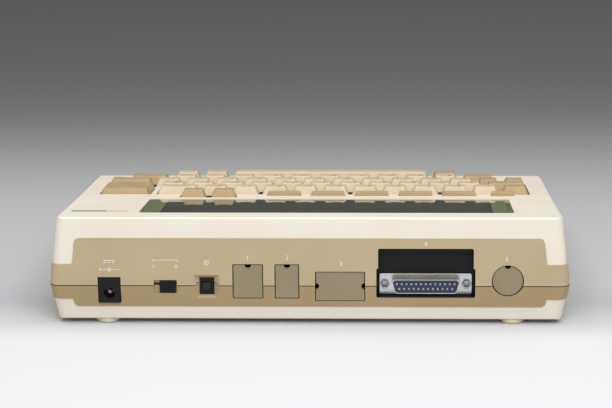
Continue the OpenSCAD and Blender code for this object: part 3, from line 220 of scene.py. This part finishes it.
# Steel sheet under black stoving enamel, and under khaki enamel for the keyboard.
black_enamel = moulded("black_enamelled_steel", "#2c2c2b", "#262625", 0.5, 0.7, 0.006, 12.0)
khaki_enamel = moulded("khaki_enamelled_steel", "#857a63", "#7b705a", 0.5, 0.7, 0.006, 12.0)
# Acetal housings of the key switches: ivory, waxy.
ivory_acetal = moulded("ivory_acetal_switches", "#cfc4aa", "#c7bb9f", 0.4, 0.5, 0.006, 9.0)
# Walls inside a seam or a gap: a near-black brown that stands for the shade deep in the gap, painted
# shade.
seam_painted_shade = moulded("painted_shade_seam_walls", "#362d22", "#2a231a", 0.8, 0.5, 0.01, 9.0)
# Thermoplastic rubber feet: cream, matt, a little dusty.
cream_rubber = moulded("cream_rubber_feet", "#e6dcc5", "#dccfb4", 0.7, 0.5, 0.02, 8.0, IOR=1.5)
# Foil jacket of the cells: slate, satin.
foil_jacket = moulded("foil_cell_jacket", "#7d828a", "#70757c", 0.33, 1.2, 0.004, 16.0,
                      metallic=0.6)
# Epoxy-glass board under green solder mask.
solder_mask = moulded("green_solder_mask", "#3f6e48", "#37633f", 0.32, 1.0, 0.01, 12.0, IOR=1.5)
# Screen-printed olive ink on the back of the window.
olive_ink = moulded("olive_screen_ink", "#9ca679", "#959f72", 0.5, 0.5, 0.003, 30.0, IOR=1.5)
# Pad-printing inks: thin, matt, slightly uneven.
white_ink = moulded("white_pad_ink", "#f4efe6", "#ece6da", 0.6, 0.4, 0.004, 3.0, IOR=1.5)
brown_ink = moulded("brown_pad_ink", "#5b4a37", "#52422f", 0.6, 0.4, 0.004, 3.0, IOR=1.5)
sand_ink = moulded("sand_pad_ink", "#cbbd9d", "#c2b391", 0.6, 0.4, 0.004, 3.0, IOR=1.5)
umber_ink = moulded("umber_pad_ink", "#3a2f25", "#33291f", 0.7, 0.4, 0.004, 3.0,
                    **{"Specular IOR Level": 0.1})


def display_cell(name, dot_mm):
    """A dark polariser over a grid of square dots, dot_mm apart, with a faint clear line between
    them."""
    made, tree, where = new_material(name)
    grid = add(tree, "TexBrick", {"offset": 0.0, "squash": 1.0, "Scale": 1000 / dot_mm,
                                  "Brick Width": 1.0, "Row Height": 1.0, "Mortar Size": 0.06,
                                  "Mortar Smooth": 0.3, "Color1": linear("#575654"),
                                  "Color2": linear("#545351"), "Mortar": linear("#626160")},
               {"Vector": where})
    surface = add(tree, "BsdfPrincipled", {"Roughness": 0.22, "IOR": 1.5},
                  {"Base Color": grid.outputs["Color"]})
    add(tree, "OutputMaterial", None, {"Surface": surface.outputs["BSDF"]})
    return made


def clear_acrylic(name, wave_mm):
    """Smoked acrylic sheet: clear, faintly grey, polished, with very slight waves from casting. Its
    back is in contact with the print, so a ray that meets it from inside goes straight on, and so
    does light on its way to what lies below, dimmed a little."""
    made, tree, where = new_material(name)
    waves = add(tree, "TexNoise", {"Scale": 1000 / wave_mm, "Detail": 1.0}, {"Vector": where})
    bump = add(tree, "Bump", {"Strength": 1.0, "Distance": 0.02 * MM},
               {"Height": waves.outputs["Fac"]})
    surface = add(tree, "BsdfPrincipled", {"Roughness": 0.03, "IOR": 1.49,
                                           "Base Color": linear("#eef0ea"),
                                           "Transmission Weight": 1.0},
                  {"Normal": bump.outputs["Normal"]})
    path = add(tree, "LightPath")
    lighting = either(tree, path.outputs["Is Shadow Ray"], path.outputs["Is Diffuse Ray"])
    passing = either(tree, lighting, add(tree, "NewGeometry").outputs["Backfacing"])
    straight = add(tree, "BsdfTransparent", {"Color": linear("#f4f5f2")})
    mixed = add(tree, "MixShader", None, {0: passing, 1: surface.outputs["BSDF"],
                                          2: straight.outputs["BSDF"]})
    add(tree, "OutputMaterial", None, {"Surface": mixed.outputs["Shader"]})
    return made


lcd_cell = display_cell("lcd_polariser_dots", 0.8)
acrylic = clear_acrylic("smoked_acrylic_window", 60.0)


# ---------- meshes ----------

def joined(parts):
    """One list of points and faces from several, with each part's face numbers moved on."""
    points, faces, start = [], [], 0
    for p, f in parts:
        points.append(np.asarray(p, float))
        faces += [tuple(i + start for i in face) for face in f]
        start += len(p)
    return np.concatenate(points), faces


def build(name, points, faces, material, body, smooth=35.0):
    """A piece from points in millimetres that rides on a body. Edges sharper than smooth, in
    degrees, stay crisp."""
    mesh = bpy.data.meshes.new(name)
    mesh.from_pydata((np.asarray(points) * MM).tolist(), [], faces)
    mesh.materials.append(material)
    mesh.shade_smooth()
    mesh.set_sharp_from_angle(angle=math.radians(smooth))
    mesh.update()
    piece = new_object(name, mesh)
    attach(piece, body)
    return piece


def sheet_faces(rows, columns):
    """Faces of a closed skin: a fan from the first pole, bands of quads round it, a fan to the last
    pole. Point 0 is the first pole, then come the rows, then the last pole."""
    i = np.arange(columns)
    j = (i + 1) % columns
    fan = np.stack([np.zeros_like(i), 1 + i, 1 + j], 1).tolist()
    r = 1 + np.arange(rows - 1)[:, None] * columns
    quads = np.stack([r + i, r + j, r + columns + j, r + columns + i], -1).reshape(-1, 4).tolist()
    last = 1 + (rows - 1) * columns
    cap = np.stack([last + i, last + j, np.full_like(i, last + columns)], 1).tolist()
    return [tuple(f) for f in fan + quads + cap]


def turned(profile, sides):
    """A surface of revolution about Z: each (radius, height) of the profile is a ring, and the ends
    close on the axis."""
    profile = np.asarray(profile, float)
    a = np.linspace(0, 2 * np.pi, sides, endpoint=False)
    ring = np.stack([np.cos(a), np.sin(a), np.zeros_like(a)], -1)
    rows = profile[:, None, :1] * ring + profile[:, None, 1:] * np.array([0, 0, 1.0])
    poles = np.array([[0, 0, profile[0, 1]], [0, 0, profile[-1, 1]]])
    points = np.concatenate([poles[:1], rows.reshape(-1, 3), poles[1:]])
    return points, sheet_faces(len(profile), sides)


def corner_ring(half_x, half_y, radius, middle_y, arc=5, side=5):
    """Points round a rectangle with rounded corners: each corner is an arc of the given radius with
    arc points, and each side has side points between its arcs."""
    radius = min(radius, half_x - 0.01, half_y - 0.01)
    centres = np.array([[1, 1], [-1, 1], [-1, -1], [1, -1]]) * [half_x - radius, half_y - radius]
    a = np.linspace(0, np.pi / 2, arc)[None, :] + np.arange(4)[:, None] * np.pi / 2
    arcs = centres[:, None, :] + radius * np.stack([np.cos(a), np.sin(a)], -1)
    following = np.roll(arcs, -1, axis=0)
    t = (np.arange(side) + 1)[None, :, None] / (side + 1)
    runs = arcs[:, -1:, :] * (1 - t) + following[:, :1, :] * t
    ring = np.concatenate([arcs, runs], 1).reshape(-1, 2)
    return ring + [0, middle_y]


def from_crease(points, angle):
    """From coordinates on a slope, measured from the crease, to the part's own frame: a turn by the
    slope's angle about X, then a shift to the crease."""
    p = np.asarray(points, float)
    c, s = math.cos(angle), math.sin(angle)
    return np.column_stack([p[:, 0], CREASE_Y + p[:, 1] * c - p[:, 2] * s,
                            CREASE_H + p[:, 1] * s + p[:, 2] * c])


# ---------- keys ----------

# A key: its height, how far each side leans in, its skirt, its hollow, and the radii of its edge and
# of its corners at the foot and at the top.
CAP_FORM = {"height": CAP_H, "lean": CAP_FLANK_IN, "front": 1.2, "rear": 2.4, "skirt": 1.0,
            "wall": 1.2, "roof": CAP_ROOF, "edge": 0.8, "foot_r": 1.0, "top_r": 2.2}
BAR_FORM = {"height": BAR_H, "lean": 0.5, "front": 0.3, "rear": 0.6, "skirt": 1.6,
            "wall": 1.0, "roof": BAR_ROOF, "edge": 0.9, "foot_r": 0.6, "top_r": 1.0}
# The share of the lean that a flank has reached at its upper end, and that of the hollow's ceiling;
# the hollow's corner radius; and how far the edge's arc draws in, as a share of its height.
FLANK, CEILING, HOLLOW_R, DRAW_IN = 0.88, 0.9, 0.6, 0.8


def column(n):
    """Middle of column n of the key grid."""
    return FIRST_KEY_X + n * PITCH


def row(n):
    """Middle of row n of the key grid, down the deck from the crease."""
    return -FIRST_ROW - n * PITCH


def key_top(x, half_top, height, sag):
    """Height of a key top across its width: height - sag * (1 - (x / half width) ** 2)."""
    return height - sag * np.clip(1 - (x / half_top) ** 2, 0, 1)


def key_skin(w, d, sag, height, lean, front, rear, skirt, wall, roof, edge, foot_r, top_r):
    """A hollow key as one closed skin. Up the flanks the outline shrinks in a straight line, over
    the edge it follows a quarter circle, and the top is key_top. Inside, two rings and a pole make
    the hollow."""

    def top(flat):
        return key_top(flat[..., 0], w / 2 - lean, height, sag)

    def ring(share, inset, radius):
        lo = -d / 2 + front * share + inset
        hi = d / 2 - rear * share - inset
        return corner_ring(w / 2 - lean * share - inset, (hi - lo) / 2, radius, (hi + lo) / 2)

    def level(flat, z):
        return np.column_stack([flat, np.broadcast_to(z, len(flat))])

    rows = [level(ring(CEILING, wall, HOLLOW_R), height - roof),
            level(ring(0.0, wall, HOLLOW_R), -skirt)]
    for share in (0.0, 0.03, 0.5, FLANK):
        flat = ring(share, 0, foot_r + (top_r - foot_r) * share)
        rows.append(level(flat, -skirt + share / FLANK * (top(flat) - edge + skirt)))
    for a in np.radians([25, 50, 72, 90]):
        share = FLANK + (1 - FLANK) * a / (np.pi / 2)
        flat = ring(share, edge * (1 - math.cos(a)) * DRAW_IN, top_r)
        rows.append(level(flat, top(flat) - edge + edge * math.sin(a)))
    rim = rows[-1][:, :2]
    centre = rim.mean(0)
    for t in (0.8, 0.55, 0.3):
        flat = centre + (rim - centre) * t
        rows.append(level(flat, top(flat)))
    points = np.concatenate([[[0, 0, height - roof]], *rows, [[*centre, top(centre)]]])
    return points, sheet_faces(len(rows), len(rim))


def key_stem(radius, tip, chamfer, ceiling):
    """The round stem under a key, from its chamfered tip up to its root in the roof."""
    profile = [(radius - chamfer, tip), (radius, tip + chamfer), (radius, ceiling + STEM_ROOT)]
    return turned(profile, sides=16)


def key_cap(w, d, sag, stems):
    """The skin of a key and its stems, with the middle of the key on the origin."""
    parts = [key_skin(w, d, sag, **CAP_FORM)]
    for at in stems:
        stem, faces = key_stem(STEM_R, STEM_TIP, STEM_CHAMFER, CAP_H - CAP_ROOF)
        parts.append((stem + [at, 0, 0], faces))
    return joined(parts)


def grid_key(x, line, units):
    """A key of so many units on a row of the grid, in deck coordinates. Only the space bar is wider
    than 6 units, and it has a flat top and three stems."""
    w = units * PITCH - (PITCH - CAP_BASE)
    sag, stems = (0.0, SPACE_STEMS) if units > 6 else (DISH, (0.0,))
    points, faces = key_cap(w, CAP_BASE, sag, stems)
    return points + [x, row(line), 0], faces


def set_key(node, points, faces, material, slot):
    """Puts a key, given in deck coordinates, in the place of the part's own."""
    piece = build("caps." + node, from_crease(points, DECK_ANGLE), faces, material, node)
    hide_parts(node)


# Each node's keys: middle, row and width in units.
KEYS = {
    "number_keys": [(column(i), 0, 1) for i in range(1, 11)] + [(column(11.25), 0, 1.5)],
    "upper_letter_keys": [(column(i + 1.5), 1, 1) for i in range(11)],
    "middle_letter_keys": [(column(i + 1.75), 2, 1) for i in range(11)],
    "lower_letter_keys": [(column(i + 2.25), 3, 1) for i in range(10)],
    "escape_key": [(column(0), 0, 1)],
    "tab_key": [(column(0.25), 1, 1.5)],
    "control_key": [(column(-0.0625), 2, 0.875)],
    "caps_key": [(column(0.8125), 2, 0.875)],
    "return_key": [(column(13.05), 2, 1.6)],
    "left_shift": [(column(1.125), 3, 1.25)],
    "right_shift": [(column(12.5), 3, 1.5)],
    "graph_key": [(column(2.25), 4, 1)],
    "space_bar": [(column(6.25), 4, 7)],
    "mode_key": [(column(10.25), 4, 1)],
    "code_key": [(column(11.25), 4, 1)],
}
CREAM_KEYS = ("number_keys", "upper_letter_keys", "middle_letter_keys", "lower_letter_keys",
              "space_bar", "mode_key", "code_key")
for node, places in KEYS.items():
    points, faces = joined([grid_key(*place) for place in places])
    look = (cream_pbt, "cream_key") if node in CREAM_KEYS else (tan_pbt, "tan_key")
    set_key(node, points, faces, *look)

for i, n in enumerate(EDIT_COLUMNS):
    points, faces = key_cap(EDIT_W, EDIT_D, DISH, (0.0,))
    set_key(f"edit_key_{i + 1}", points + [column(n), -EDIT_ROW, 0], faces, tan_pbt, "tan_key")

# Each bar's node, middle and width.
BARS = [("stop_bar", STOP_X, STOP_W)]
BARS += [(f"function_bar_{i + 1}", FUNCTION_X + i * FUNCTION_PITCH, FUNCTION_W) for i in range(5)]
for node, x, w in BARS:
    stem = key_stem(BAR_STEM_R, BAR_STEM_TIP, BAR_STEM_CHAMFER, BAR_H - BAR_ROOF)
    points, faces = joined([key_skin(w, BAR_D, 0.0, **BAR_FORM), stem])
    set_key(node, points + [x, -BAR_ROW, 0], faces, bar_pbt, "tan_key")


# ---------- mouldings with softened edges ----------

# Openings in the rear face: spans of the switches and of the covers along X, span along Z, depth.
SWITCHES_X, COVERS_X, OPENINGS_Z, OPENINGS_IN = (50.0, 137.0), (-130.0, 50.0), (12.0, 52.0), 4.0
# Recess of the protect switch: half its width, and the depth past which a face is its floor.
PROTECT_REACH, PROTECT_IN = 8.0, 0.5
# Recess of the power slide: where the side wall starts, half its length, and its heights.
SIDE_X, POWER_REACH, POWER_Z = 140.0, 12.0, (15.5, PARTING_H + 2.0)
# Seam between the halves, with half its height, and the top of the lap behind it.
SEAM_Z, SEAM_REACH, LAP_TOP = PARTING_H - 0.1, 0.5, PARTING_H + 1.6
# Centre pin of the inlet: a radius just outside it, and how far in it reaches.
PIN_REACH, PIN_IN = 1.05, 11.0
# Recess round the serial connector: half its width, heights and back, and the depth past which a
# face belongs to it.
WELL_REACH, WELL_Z, WELL_BACK, WELL_IN = 28.6, (17.0, 46.7), FLANGE_Y - 7.0, 1.5
# A wall runs crossways when its normal's Y is smaller than this, and upright when its Z is.
CROSSWAYS, UPRIGHT = 0.8, 0.3
# Copies of solids: doubles nearer than this, in metres, are merged, edges flatter than the first
# angle are dissolved, and those sharper than the second are rounded.
MERGE, FLAT_ANGLE, ROUND_ANGLE = 2e-6, math.radians(0.6), math.radians(28.0)


def between(values, span):
    """Which of the values lie inside a span."""
    return (values > span[0]) & (values < span[1])


def port_walls(p, n):
    """The walls of the switch openings, across the rear face, the floor of the protect recess and
    the recess of the power slide on the side."""
    rear = between(p[2], OPENINGS_Z) & (p[1] > REAR_Y - OPENINGS_IN)
    floor = (abs(p[0] - PROTECT_X) < PROTECT_REACH) & (p[1] < REAR_Y - PROTECT_IN)
    side = (p[0] > SIDE_X) & (abs(p[1] - POWER_Y) < POWER_REACH) & between(p[2], POWER_Z)
    return rear & between(p[0], SWITCHES_X) & ((abs(n[1]) < CROSSWAYS) | floor) | side


def gap_walls(p, n):
    """The walls round the port covers, across the rear face, those of the seam between the halves,
    and the lap behind the seam where the ports cut it. These faces get painted shade."""
    rear = p[1] > REAR_Y - OPENINGS_IN
    ports = rear & between(p[0], COVERS_X) & between(p[2], OPENINGS_Z) & (abs(n[1]) < CROSSWAYS)
    seam = abs(p[2] - SEAM_Z) < SEAM_REACH
    lap = rear & between(p[2], (PARTING_H, LAP_TOP)) & (abs(n[2]) < UPRIGHT)
    return ports | seam | lap


def inlet_pin(p, n):
    """The centre pin of the power inlet."""
    return (np.hypot(p[0] - INLET_X, p[2] - INLET_Z) < PIN_REACH) & (p[1] > REAR_Y - PIN_IN)


def serial_well(p, n):
    """The walls and floor of the recess round the serial connector."""
    inside = (abs(p[0] - SERIAL_X) < WELL_REACH) & between(p[2], WELL_Z) & (p[1] > WELL_BACK)
    return inside & ((abs(n[1]) < CROSSWAYS) | (p[1] < REAR_Y - WELL_IN))


def lined(mesh, material, test):
    """Gives the material to the faces whose middles, in millimetres, and normals pass the test."""
    count = len(mesh.polygons)
    middles, normals = np.zeros(count * 3), np.zeros(count * 3)
    mesh.polygons.foreach_get("center", middles)
    mesh.polygons.foreach_get("normal", normals)
    chosen = test(middles.reshape(-1, 3).T / MM, normals.reshape(-1, 3).T)
    mesh.materials.append(material)
    slots = np.zeros(count, dtype=np.int32)
    mesh.polygons.foreach_get("material_index", slots)
    mesh.polygons.foreach_set("material_index", np.where(chosen, len(mesh.materials) - 1, slots))


def softened(node, body, material, radius, segments=2, linings=()):
    """A copy of a solid with its doubles merged, its flat faces joined and its edges rounded over.
    Each lining is a second material and the test for the faces that have it."""
    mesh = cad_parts[node].data.copy()
    piece = new_object("soft." + node, mesh)
    shell = bmesh.new()
    shell.from_mesh(mesh)
    bmesh.ops.remove_doubles(shell, verts=shell.verts, dist=MERGE)
    bmesh.ops.dissolve_limit(shell, angle_limit=FLAT_ANGLE, verts=shell.verts, edges=shell.edges)
    shell.to_mesh(mesh)
    shell.free()
    if "custom_normal" in mesh.attributes:
        mesh.attributes.remove(mesh.attributes["custom_normal"])
    mesh.materials.clear()
    mesh.materials.append(material)
    for lining in linings:
        lined(mesh, *lining)
    mesh.shade_smooth()
    bevel = piece.modifiers.new("rounded_edges", "BEVEL")
    bevel.width = radius * MM
    bevel.segments = segments
    bevel.limit_method = "ANGLE"
    bevel.angle_limit = ROUND_ANGLE
    bevel.harden_normals = True
    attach(piece, body)
    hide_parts(node)


# Linings: painted shade in the gaps and seams, the black recess of the serial connector, the inlet's
# pin.
GAP_SHADE, WELL, PIN = (seam_painted_shade, gap_walls), (black_nylon, serial_well), (nickel_pin, inlet_pin)
for name, paint in (("top_case", tan_paint), ("bottom_case", tan_paint_shaded_low)):
    softened(name, "case", cream_abs, radius=0.3,
             linings=((paint, port_walls), GAP_SHADE, WELL))
for name, paint in (("upper_belt", tan_paint), ("lower_belt", tan_paint_shaded_low)):
    softened(name, "case", paint, radius=0.3, linings=(GAP_SHADE,))
for name in ("sio1_cover", "sio2_cover", "bcr_cover", "cassette_cover"):
    softened(name, name, taupe_abs, radius=0.2)
for name in ("battery_cover", "memory_cover"):
    softened(name, name, cream_abs, radius=0.25)
softened("slot_cover", "slot_cover", tan_paint, radius=0.25)
for name in ("cursor_up", "cursor_down", "cursor_left", "cursor_right"):
    softened(name, name, tan_pbt, radius=0.7, segments=3)
for name in ("protect_slider", "power_knob"):
    softened(name, name, black_nylon, radius=0.15)
softened("reset_button", "reset_button", black_gloss, radius=0.4, segments=3)
softened("power_inlet", "case", black_nylon, radius=0.2, linings=(PIN,))
softened("serial_port_shell", "case", tin_plate, radius=0.15)
softened("contrast_dial", "contrast_dial", black_nylon, radius=0.12, segments=1)

# Solids that are shown as they are, with a better material.
FINISHES = {"display_window": acrylic, "display_mask": olive_ink, "display_panel": lcd_cell,
            "display_frame": black_enamel, "keyboard_plate": khaki_enamel,
            "key_switches": ivory_acetal, "main_board": solder_mask,
            "serial_port_insert": blue_pbt, "switch_bodies": black_nylon,
            "sio_sockets": black_nylon, "bcr_socket": black_nylon,
            "cassette_socket": black_nylon, "battery_cells": foil_jacket,
            "buzzer": black_nylon, "case_screws": zinc_steel}
for name, finish in FINISHES.items():
    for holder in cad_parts[name].material_slots:
        holder.material = finish


# ---------- feet ----------

# Radius of the rounding at the ground, and how far a foot reaches into the case.
FOOT_ROUND, FOOT_ROOT = 1.4, 0.02


def rubber_foot():
    """A round foot whose lower edge is a quarter circle, standing on the origin."""
    rounding = [(FOOT_R - FOOT_ROUND * (1 - math.sin(a)), FOOT_ROUND * (1 - math.cos(a)))
                for a in np.linspace(0, np.pi / 2, 7)]
    return turned([*rounding, (FOOT_R, FOOT_H + FOOT_ROOT)], sides=40)


points, faces = rubber_foot()
points, faces = joined([(points + [i * FOOT_X, j * FOOT_Y, 0], faces)
                        for i in (-1, 1) for j in (-1, 1)])
piece = build("rubber_feet", points, faces, cream_rubber, "case")
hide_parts("feet")


# ---------- print ----------

# Height of the print above what carries it, half a drawn line, and heights of capitals.
INK, HALF_LINE, NUMBER_H, LETTER_H = 0.03, 0.15, 2.6, 3.4
# Middle of each mark on the rear panel: X and height.
CURRENT_AT, POLARITY_AT, ON_AT, OFF_AT = (115.0, 38.2), (115.0, 34.0), (89.4, 35.9), (76.4, 35.9)
BRACKET_AT, RESET_AT = (PROTECT_X, 39.6), (59.0, 38.2)
NUMBERS_AT = {"1": (35.1, 40.9), "2": (12.4, 41.0), "3": (-18.5, 37.6), "4": (-67.0, 49.4),
              "5": (-113.6, 40.4)}
# Legends on the keys, and their middle on a key.
LEGENDS = {"number_keys": "1234567890", "upper_letter_keys": "QWERTYUIOP@",
           "middle_letter_keys": "ASDFGHJKL;:", "lower_letter_keys": "ZXCVBNM,./"}
LEGEND_AT = (-2.6, 1.0)
# Stripes on the display slope: height of the print, span up the slope and spans along X.
STRIPE_INK, STRIPE_Y = 0.02, (66.8, 70.6)
STRIPES = (("pinstripe_dark", umber_ink, 119.0, 140.0), ("pinstripe_pale", sand_ink, 107.0, 118.0))


def lettering(text, height):
    """Flat letters as points and faces in millimetres, centred on the origin, with capitals as high
    as given. The built-in font's capitals are 0.71 of its size."""
    curve = bpy.data.curves.new("lettering", "FONT")
    curve.body = text
    curve.align_x = "CENTER"
    curve.align_y = "CENTER"
    curve.size = height / 0.71
    curve.resolution_u = 3
    holder = new_object("lettering", curve)
    mesh = bpy.data.meshes.new_from_object(holder)
    points = np.zeros(len(mesh.vertices) * 3)
    mesh.vertices.foreach_get("co", points)
    faces = [tuple(f.vertices) for f in mesh.polygons]
    bpy.data.objects.remove(holder)
    return points.reshape(-1, 3), faces


def strip(x0, x1, y0, y1):
    """A flat rectangle."""
    return np.array([[x0, y0, 0], [x1, y0, 0], [x1, y1, 0], [x0, y1, 0]], float), [(0, 1, 2, 3)]


def dash(x0, x1):
    """A level line on the X axis."""
    return strip(x0, x1, -HALF_LINE, HALF_LINE)


def post(x, y0, y1):
    """An upright line."""
    return strip(x - HALF_LINE, x + HALF_LINE, y0, y1)


def ring_print(radius, width, sides=28):
    """A flat ring: two circles, joined by quads."""
    a = np.linspace(0, 2 * np.pi, sides, endpoint=False)
    circle = np.stack([np.cos(a), np.sin(a), 0 * a], -1)
    i = np.arange(sides)
    j = (i + 1) % sides
    faces = np.stack([i, i + sides, j + sides, j], 1).tolist()
    return np.concatenate([circle * (radius - width), circle * radius]), [tuple(f) for f in faces]


def dot(radius):
    """A round dot: a ring that leaves a hole of a thousandth of a millimetre."""
    return ring_print(radius, radius - 1e-3)


def on_rear(part, x, z):
    """Print on the upper rear panel, seen from behind: its own x runs towards -X and its y up the
    leaning face, a hair proud of the paint."""
    p, f = part
    height = z + p[:, 1]
    lean = (height - PARTING_H - BELT_GAP) * math.tan(UPPER_END_DRAFT)
    return np.column_stack([x - p[:, 0], REAR_Y + BELT_PROUD - lean + INK, height]), f


def current_sign():
    """Direct current: a line over three dashes."""
    return joined([strip(-3.2, 3.2, 0.9, 1.3)]
                  + [strip(x, x + 1.5, -0.2, 0.2) for x in (-3.2, -0.75, 1.7)])


def polarity_sign():
    """A barrel plug's polarity: a ring round a dot, a lead on each side, and a plus and a minus.
    The plus's upright is in two halves, above and below its level line."""
    leads = [dash(-3.6, -1.6), dash(1.6, 3.6)]
    minus, plus = dash(4.2, 5.8), dash(-5.8, -4.2)
    uprights = [post(-5.0, -0.8, -HALF_LINE), post(-5.0, HALF_LINE, 0.8)]
    return joined([ring_print(1.15, 0.3), dot(0.4), *leads, plus, minus, *uprights])


def switch_bracket():
    """A bracket over the two places of the protect switch."""
    return joined([dash(-7.4, 7.4), post(-7.25, -1.1, -HALF_LINE), post(7.25, -1.1, -HALF_LINE)])


rear_print = [on_rear(current_sign(), *CURRENT_AT), on_rear(polarity_sign(), *POLARITY_AT),
              on_rear(post(0.0, -0.95, 0.95), *ON_AT), on_rear(ring_print(0.95, 0.3), *OFF_AT),
              on_rear(switch_bracket(), *BRACKET_AT),
              on_rear(joined([ring_print(1.5, 0.35), dot(0.5)]), *RESET_AT)]
rear_print += [on_rear(lettering(text, NUMBER_H), *at) for text, at in NUMBERS_AT.items()]
points, faces = joined(rear_print)
build("port_print", points, faces, white_ink, "case")

for node, letters in LEGENDS.items():
    parts = []
    for mark, (x, line, _) in zip(letters, KEYS[node]):
        flat, faces = lettering(mark, LETTER_H)
        flat = flat + [*LEGEND_AT, 0]
        flat[:, 2] = key_top(flat[:, 0], CAP_BASE / 2 - CAP_FLANK_IN, CAP_H, DISH) + INK
        parts.append((flat + [x, row(line), 0], faces))
    points, faces = joined(parts)
    build("legends." + node, from_crease(points, DECK_ANGLE), faces, brown_ink, node)

for name, ink, x0, x1 in STRIPES:
    flat, faces = strip(x0, x1, *STRIPE_Y)
    points = from_crease(flat + [0, 0, STRIPE_INK], SLOPE_ANGLE)
    build(name, points, faces, ink, "case")


# ---------- connector ----------

# Rings of a contact sleeve: up its bore, over the lip and a little down the outside.
SLEEVE = [(0.34, -4.0), (0.34, 0.0), (0.42, 0.08), (0.56, 0.08), (0.56, -0.6)]
# Rings of a hexagonal jack nut: up its bore, over the chamfered end and down to the flange.
JACK_NUT = [(1.5, -3.0), (1.5, 1.9), (1.7, 2.1), (2.35, 2.1), (2.6, 1.9), (2.6, 0.02)]


def along_rear(part, x, z, y):
    """Turns a piece that points along +Z so that it points along +Y, at the given place."""
    p, f = part
    return np.column_stack([x + p[:, 0], y + p[:, 2], z - p[:, 1]]), f


sleeve = turned(SLEEVE, sides=12)
contacts = []
for count, side in ((13, 1), (12, -1)):
    z = SERIAL_Z + side * CONTACT_ROWS / 2
    for i in range(count):
        x = SERIAL_X + (i - (count - 1) / 2) * CONTACT_PITCH
        contacts.append(along_rear(sleeve, x, z, INSERT_Y))
points, faces = joined(contacts)
build("contact_sleeves", points, faces, tin_plate, "case")

nut = turned(JACK_NUT, sides=6)
points, faces = joined([along_rear(nut, SERIAL_X + side * SCREW_SPACING / 2, SERIAL_Z, FLANGE_Y)
                        for side in (-1, 1)])
build("jack_nuts", points, faces, zinc_steel, "case", smooth=20.0)


# ---------- floor, background and light ----------

# Half the floor's width, and where its fade starts and ends along Y, in metres. Then the fade.
FLOOR_REACH, FADE_FAR, FADE_NEAR = 8.0, -1.0, 0.25
# The fade is painted shade: light falling off to the far side, and at 0.848 a shadow beside the
# case.
PAINTED_FALLOFF = [(0.0, "#6d6e6f"), (0.28, "#707173"), (0.344, "#737476"), (0.406, "#78797c"),
        (0.465, "#828487"), (0.519, "#929496"), (0.565, "#a2a4a7"), (0.618, "#aeb1b5"),
        (0.662, "#bbbcc1"), (0.743, "#bfc2c6"), (0.815, "#c0c3c9"), (0.848, "#b9bcc2"),
        (0.883, "#d4d6db"), (0.905, "#e2e5e9"), (1.0, "#e2e4e8")]


def paper_floor():
    """Pale studio paper. To the camera, in reflections and through the window it fades along Y, from
    near white on the camera's side to grey on the far side: painted shade for the light falling off,
    with a painted shadow beside the case. Other rays meet one even pale grey."""
    made, tree, where = new_material("studio_paper")
    split = add(tree, "SeparateXYZ", None, {"Vector": where})
    along = add(tree, "MapRange", {"From Min": FADE_FAR, "From Max": FADE_NEAR},
                {"Value": split.outputs["Y"]})
    ramp = add(tree, "ValToRGB", None, {"Fac": along.outputs["Result"]})
    band = ramp.color_ramp
    while len(band.elements) < len(PAINTED_FALLOFF):
        band.elements.new(0.5)
    for element, (at, code) in zip(band.elements, PAINTED_FALLOFF):
        element.position = at
        element.color = linear(code)
    path = add(tree, "LightPath")
    mirrored = either(tree, path.outputs["Is Glossy Ray"], path.outputs["Is Transmission Ray"])
    seen = either(tree, path.outputs["Is Camera Ray"], mirrored)
    colour = add(tree, "Mix", {"data_type": "RGBA", MIX_A: linear("#c9c6c0")},
                 {MIX_FACTOR: seen, MIX_B: ramp.outputs["Color"]})
    surface = add(tree, "BsdfDiffuse", None, {"Color": colour.outputs[MIX_RESULT]})
    add(tree, "OutputMaterial", None, {"Surface": surface.outputs["BSDF"]})
    return made


def soft_box(name, place, size, power, target, tint, mirrored=True):
    """A rectangular lamp at place that points at target, with a tint. One that isn't mirrored lights
    the scene as if through a polariser: no reflection shows it, so it leaves no glare."""
    data = bpy.data.lights.new(name, "AREA")
    data.shape = "RECTANGLE"
    data.size, data.size_y = size
    data.energy = power
    data.color = linear(tint)[:3]
    lamp = new_object(name, data)
    lamp.visible_glossy = mirrored
    back = np.array(place) - target
    back = back / np.linalg.norm(back)
    side = np.cross([0.0, 0.0, 1.0], back)
    side = side / np.linalg.norm(side)
    lamp.matrix_world = placed(side, np.cross(back, side), back, place)


corners = [(i * FLOOR_REACH, j * FLOOR_REACH, 0) for i, j in ((-1, -1), (1, -1), (1, 1), (-1, 1))]
floor_mesh = bpy.data.meshes.new("floor")
floor_mesh.from_pydata(corners, [], [(0, 1, 2, 3)])
floor_mesh.materials.append(paper_floor())
floor = new_object("floor", floor_mesh)

world = bpy.data.worlds.new("room")
bpy.context.scene.world = world
world.use_nodes = True
background = world.node_tree.nodes["Background"]
background.inputs["Color"].default_value = linear("#dfdcd6")
background.inputs["Strength"].default_value = 0.55
soft_box("overhead_box", (0.0, 0.2, 1.3), size=(1.5, 1.0), power=8.7, target=(0.0, 0.0, 0.0),
         tint="#fff6e9")
soft_box("rear_fill", (-0.15, 1.25, 1.1), size=(1.2, 0.6), power=16.4, target=(0.0, 0.0, 0.03),
         tint="#eef5ff", mirrored=False)
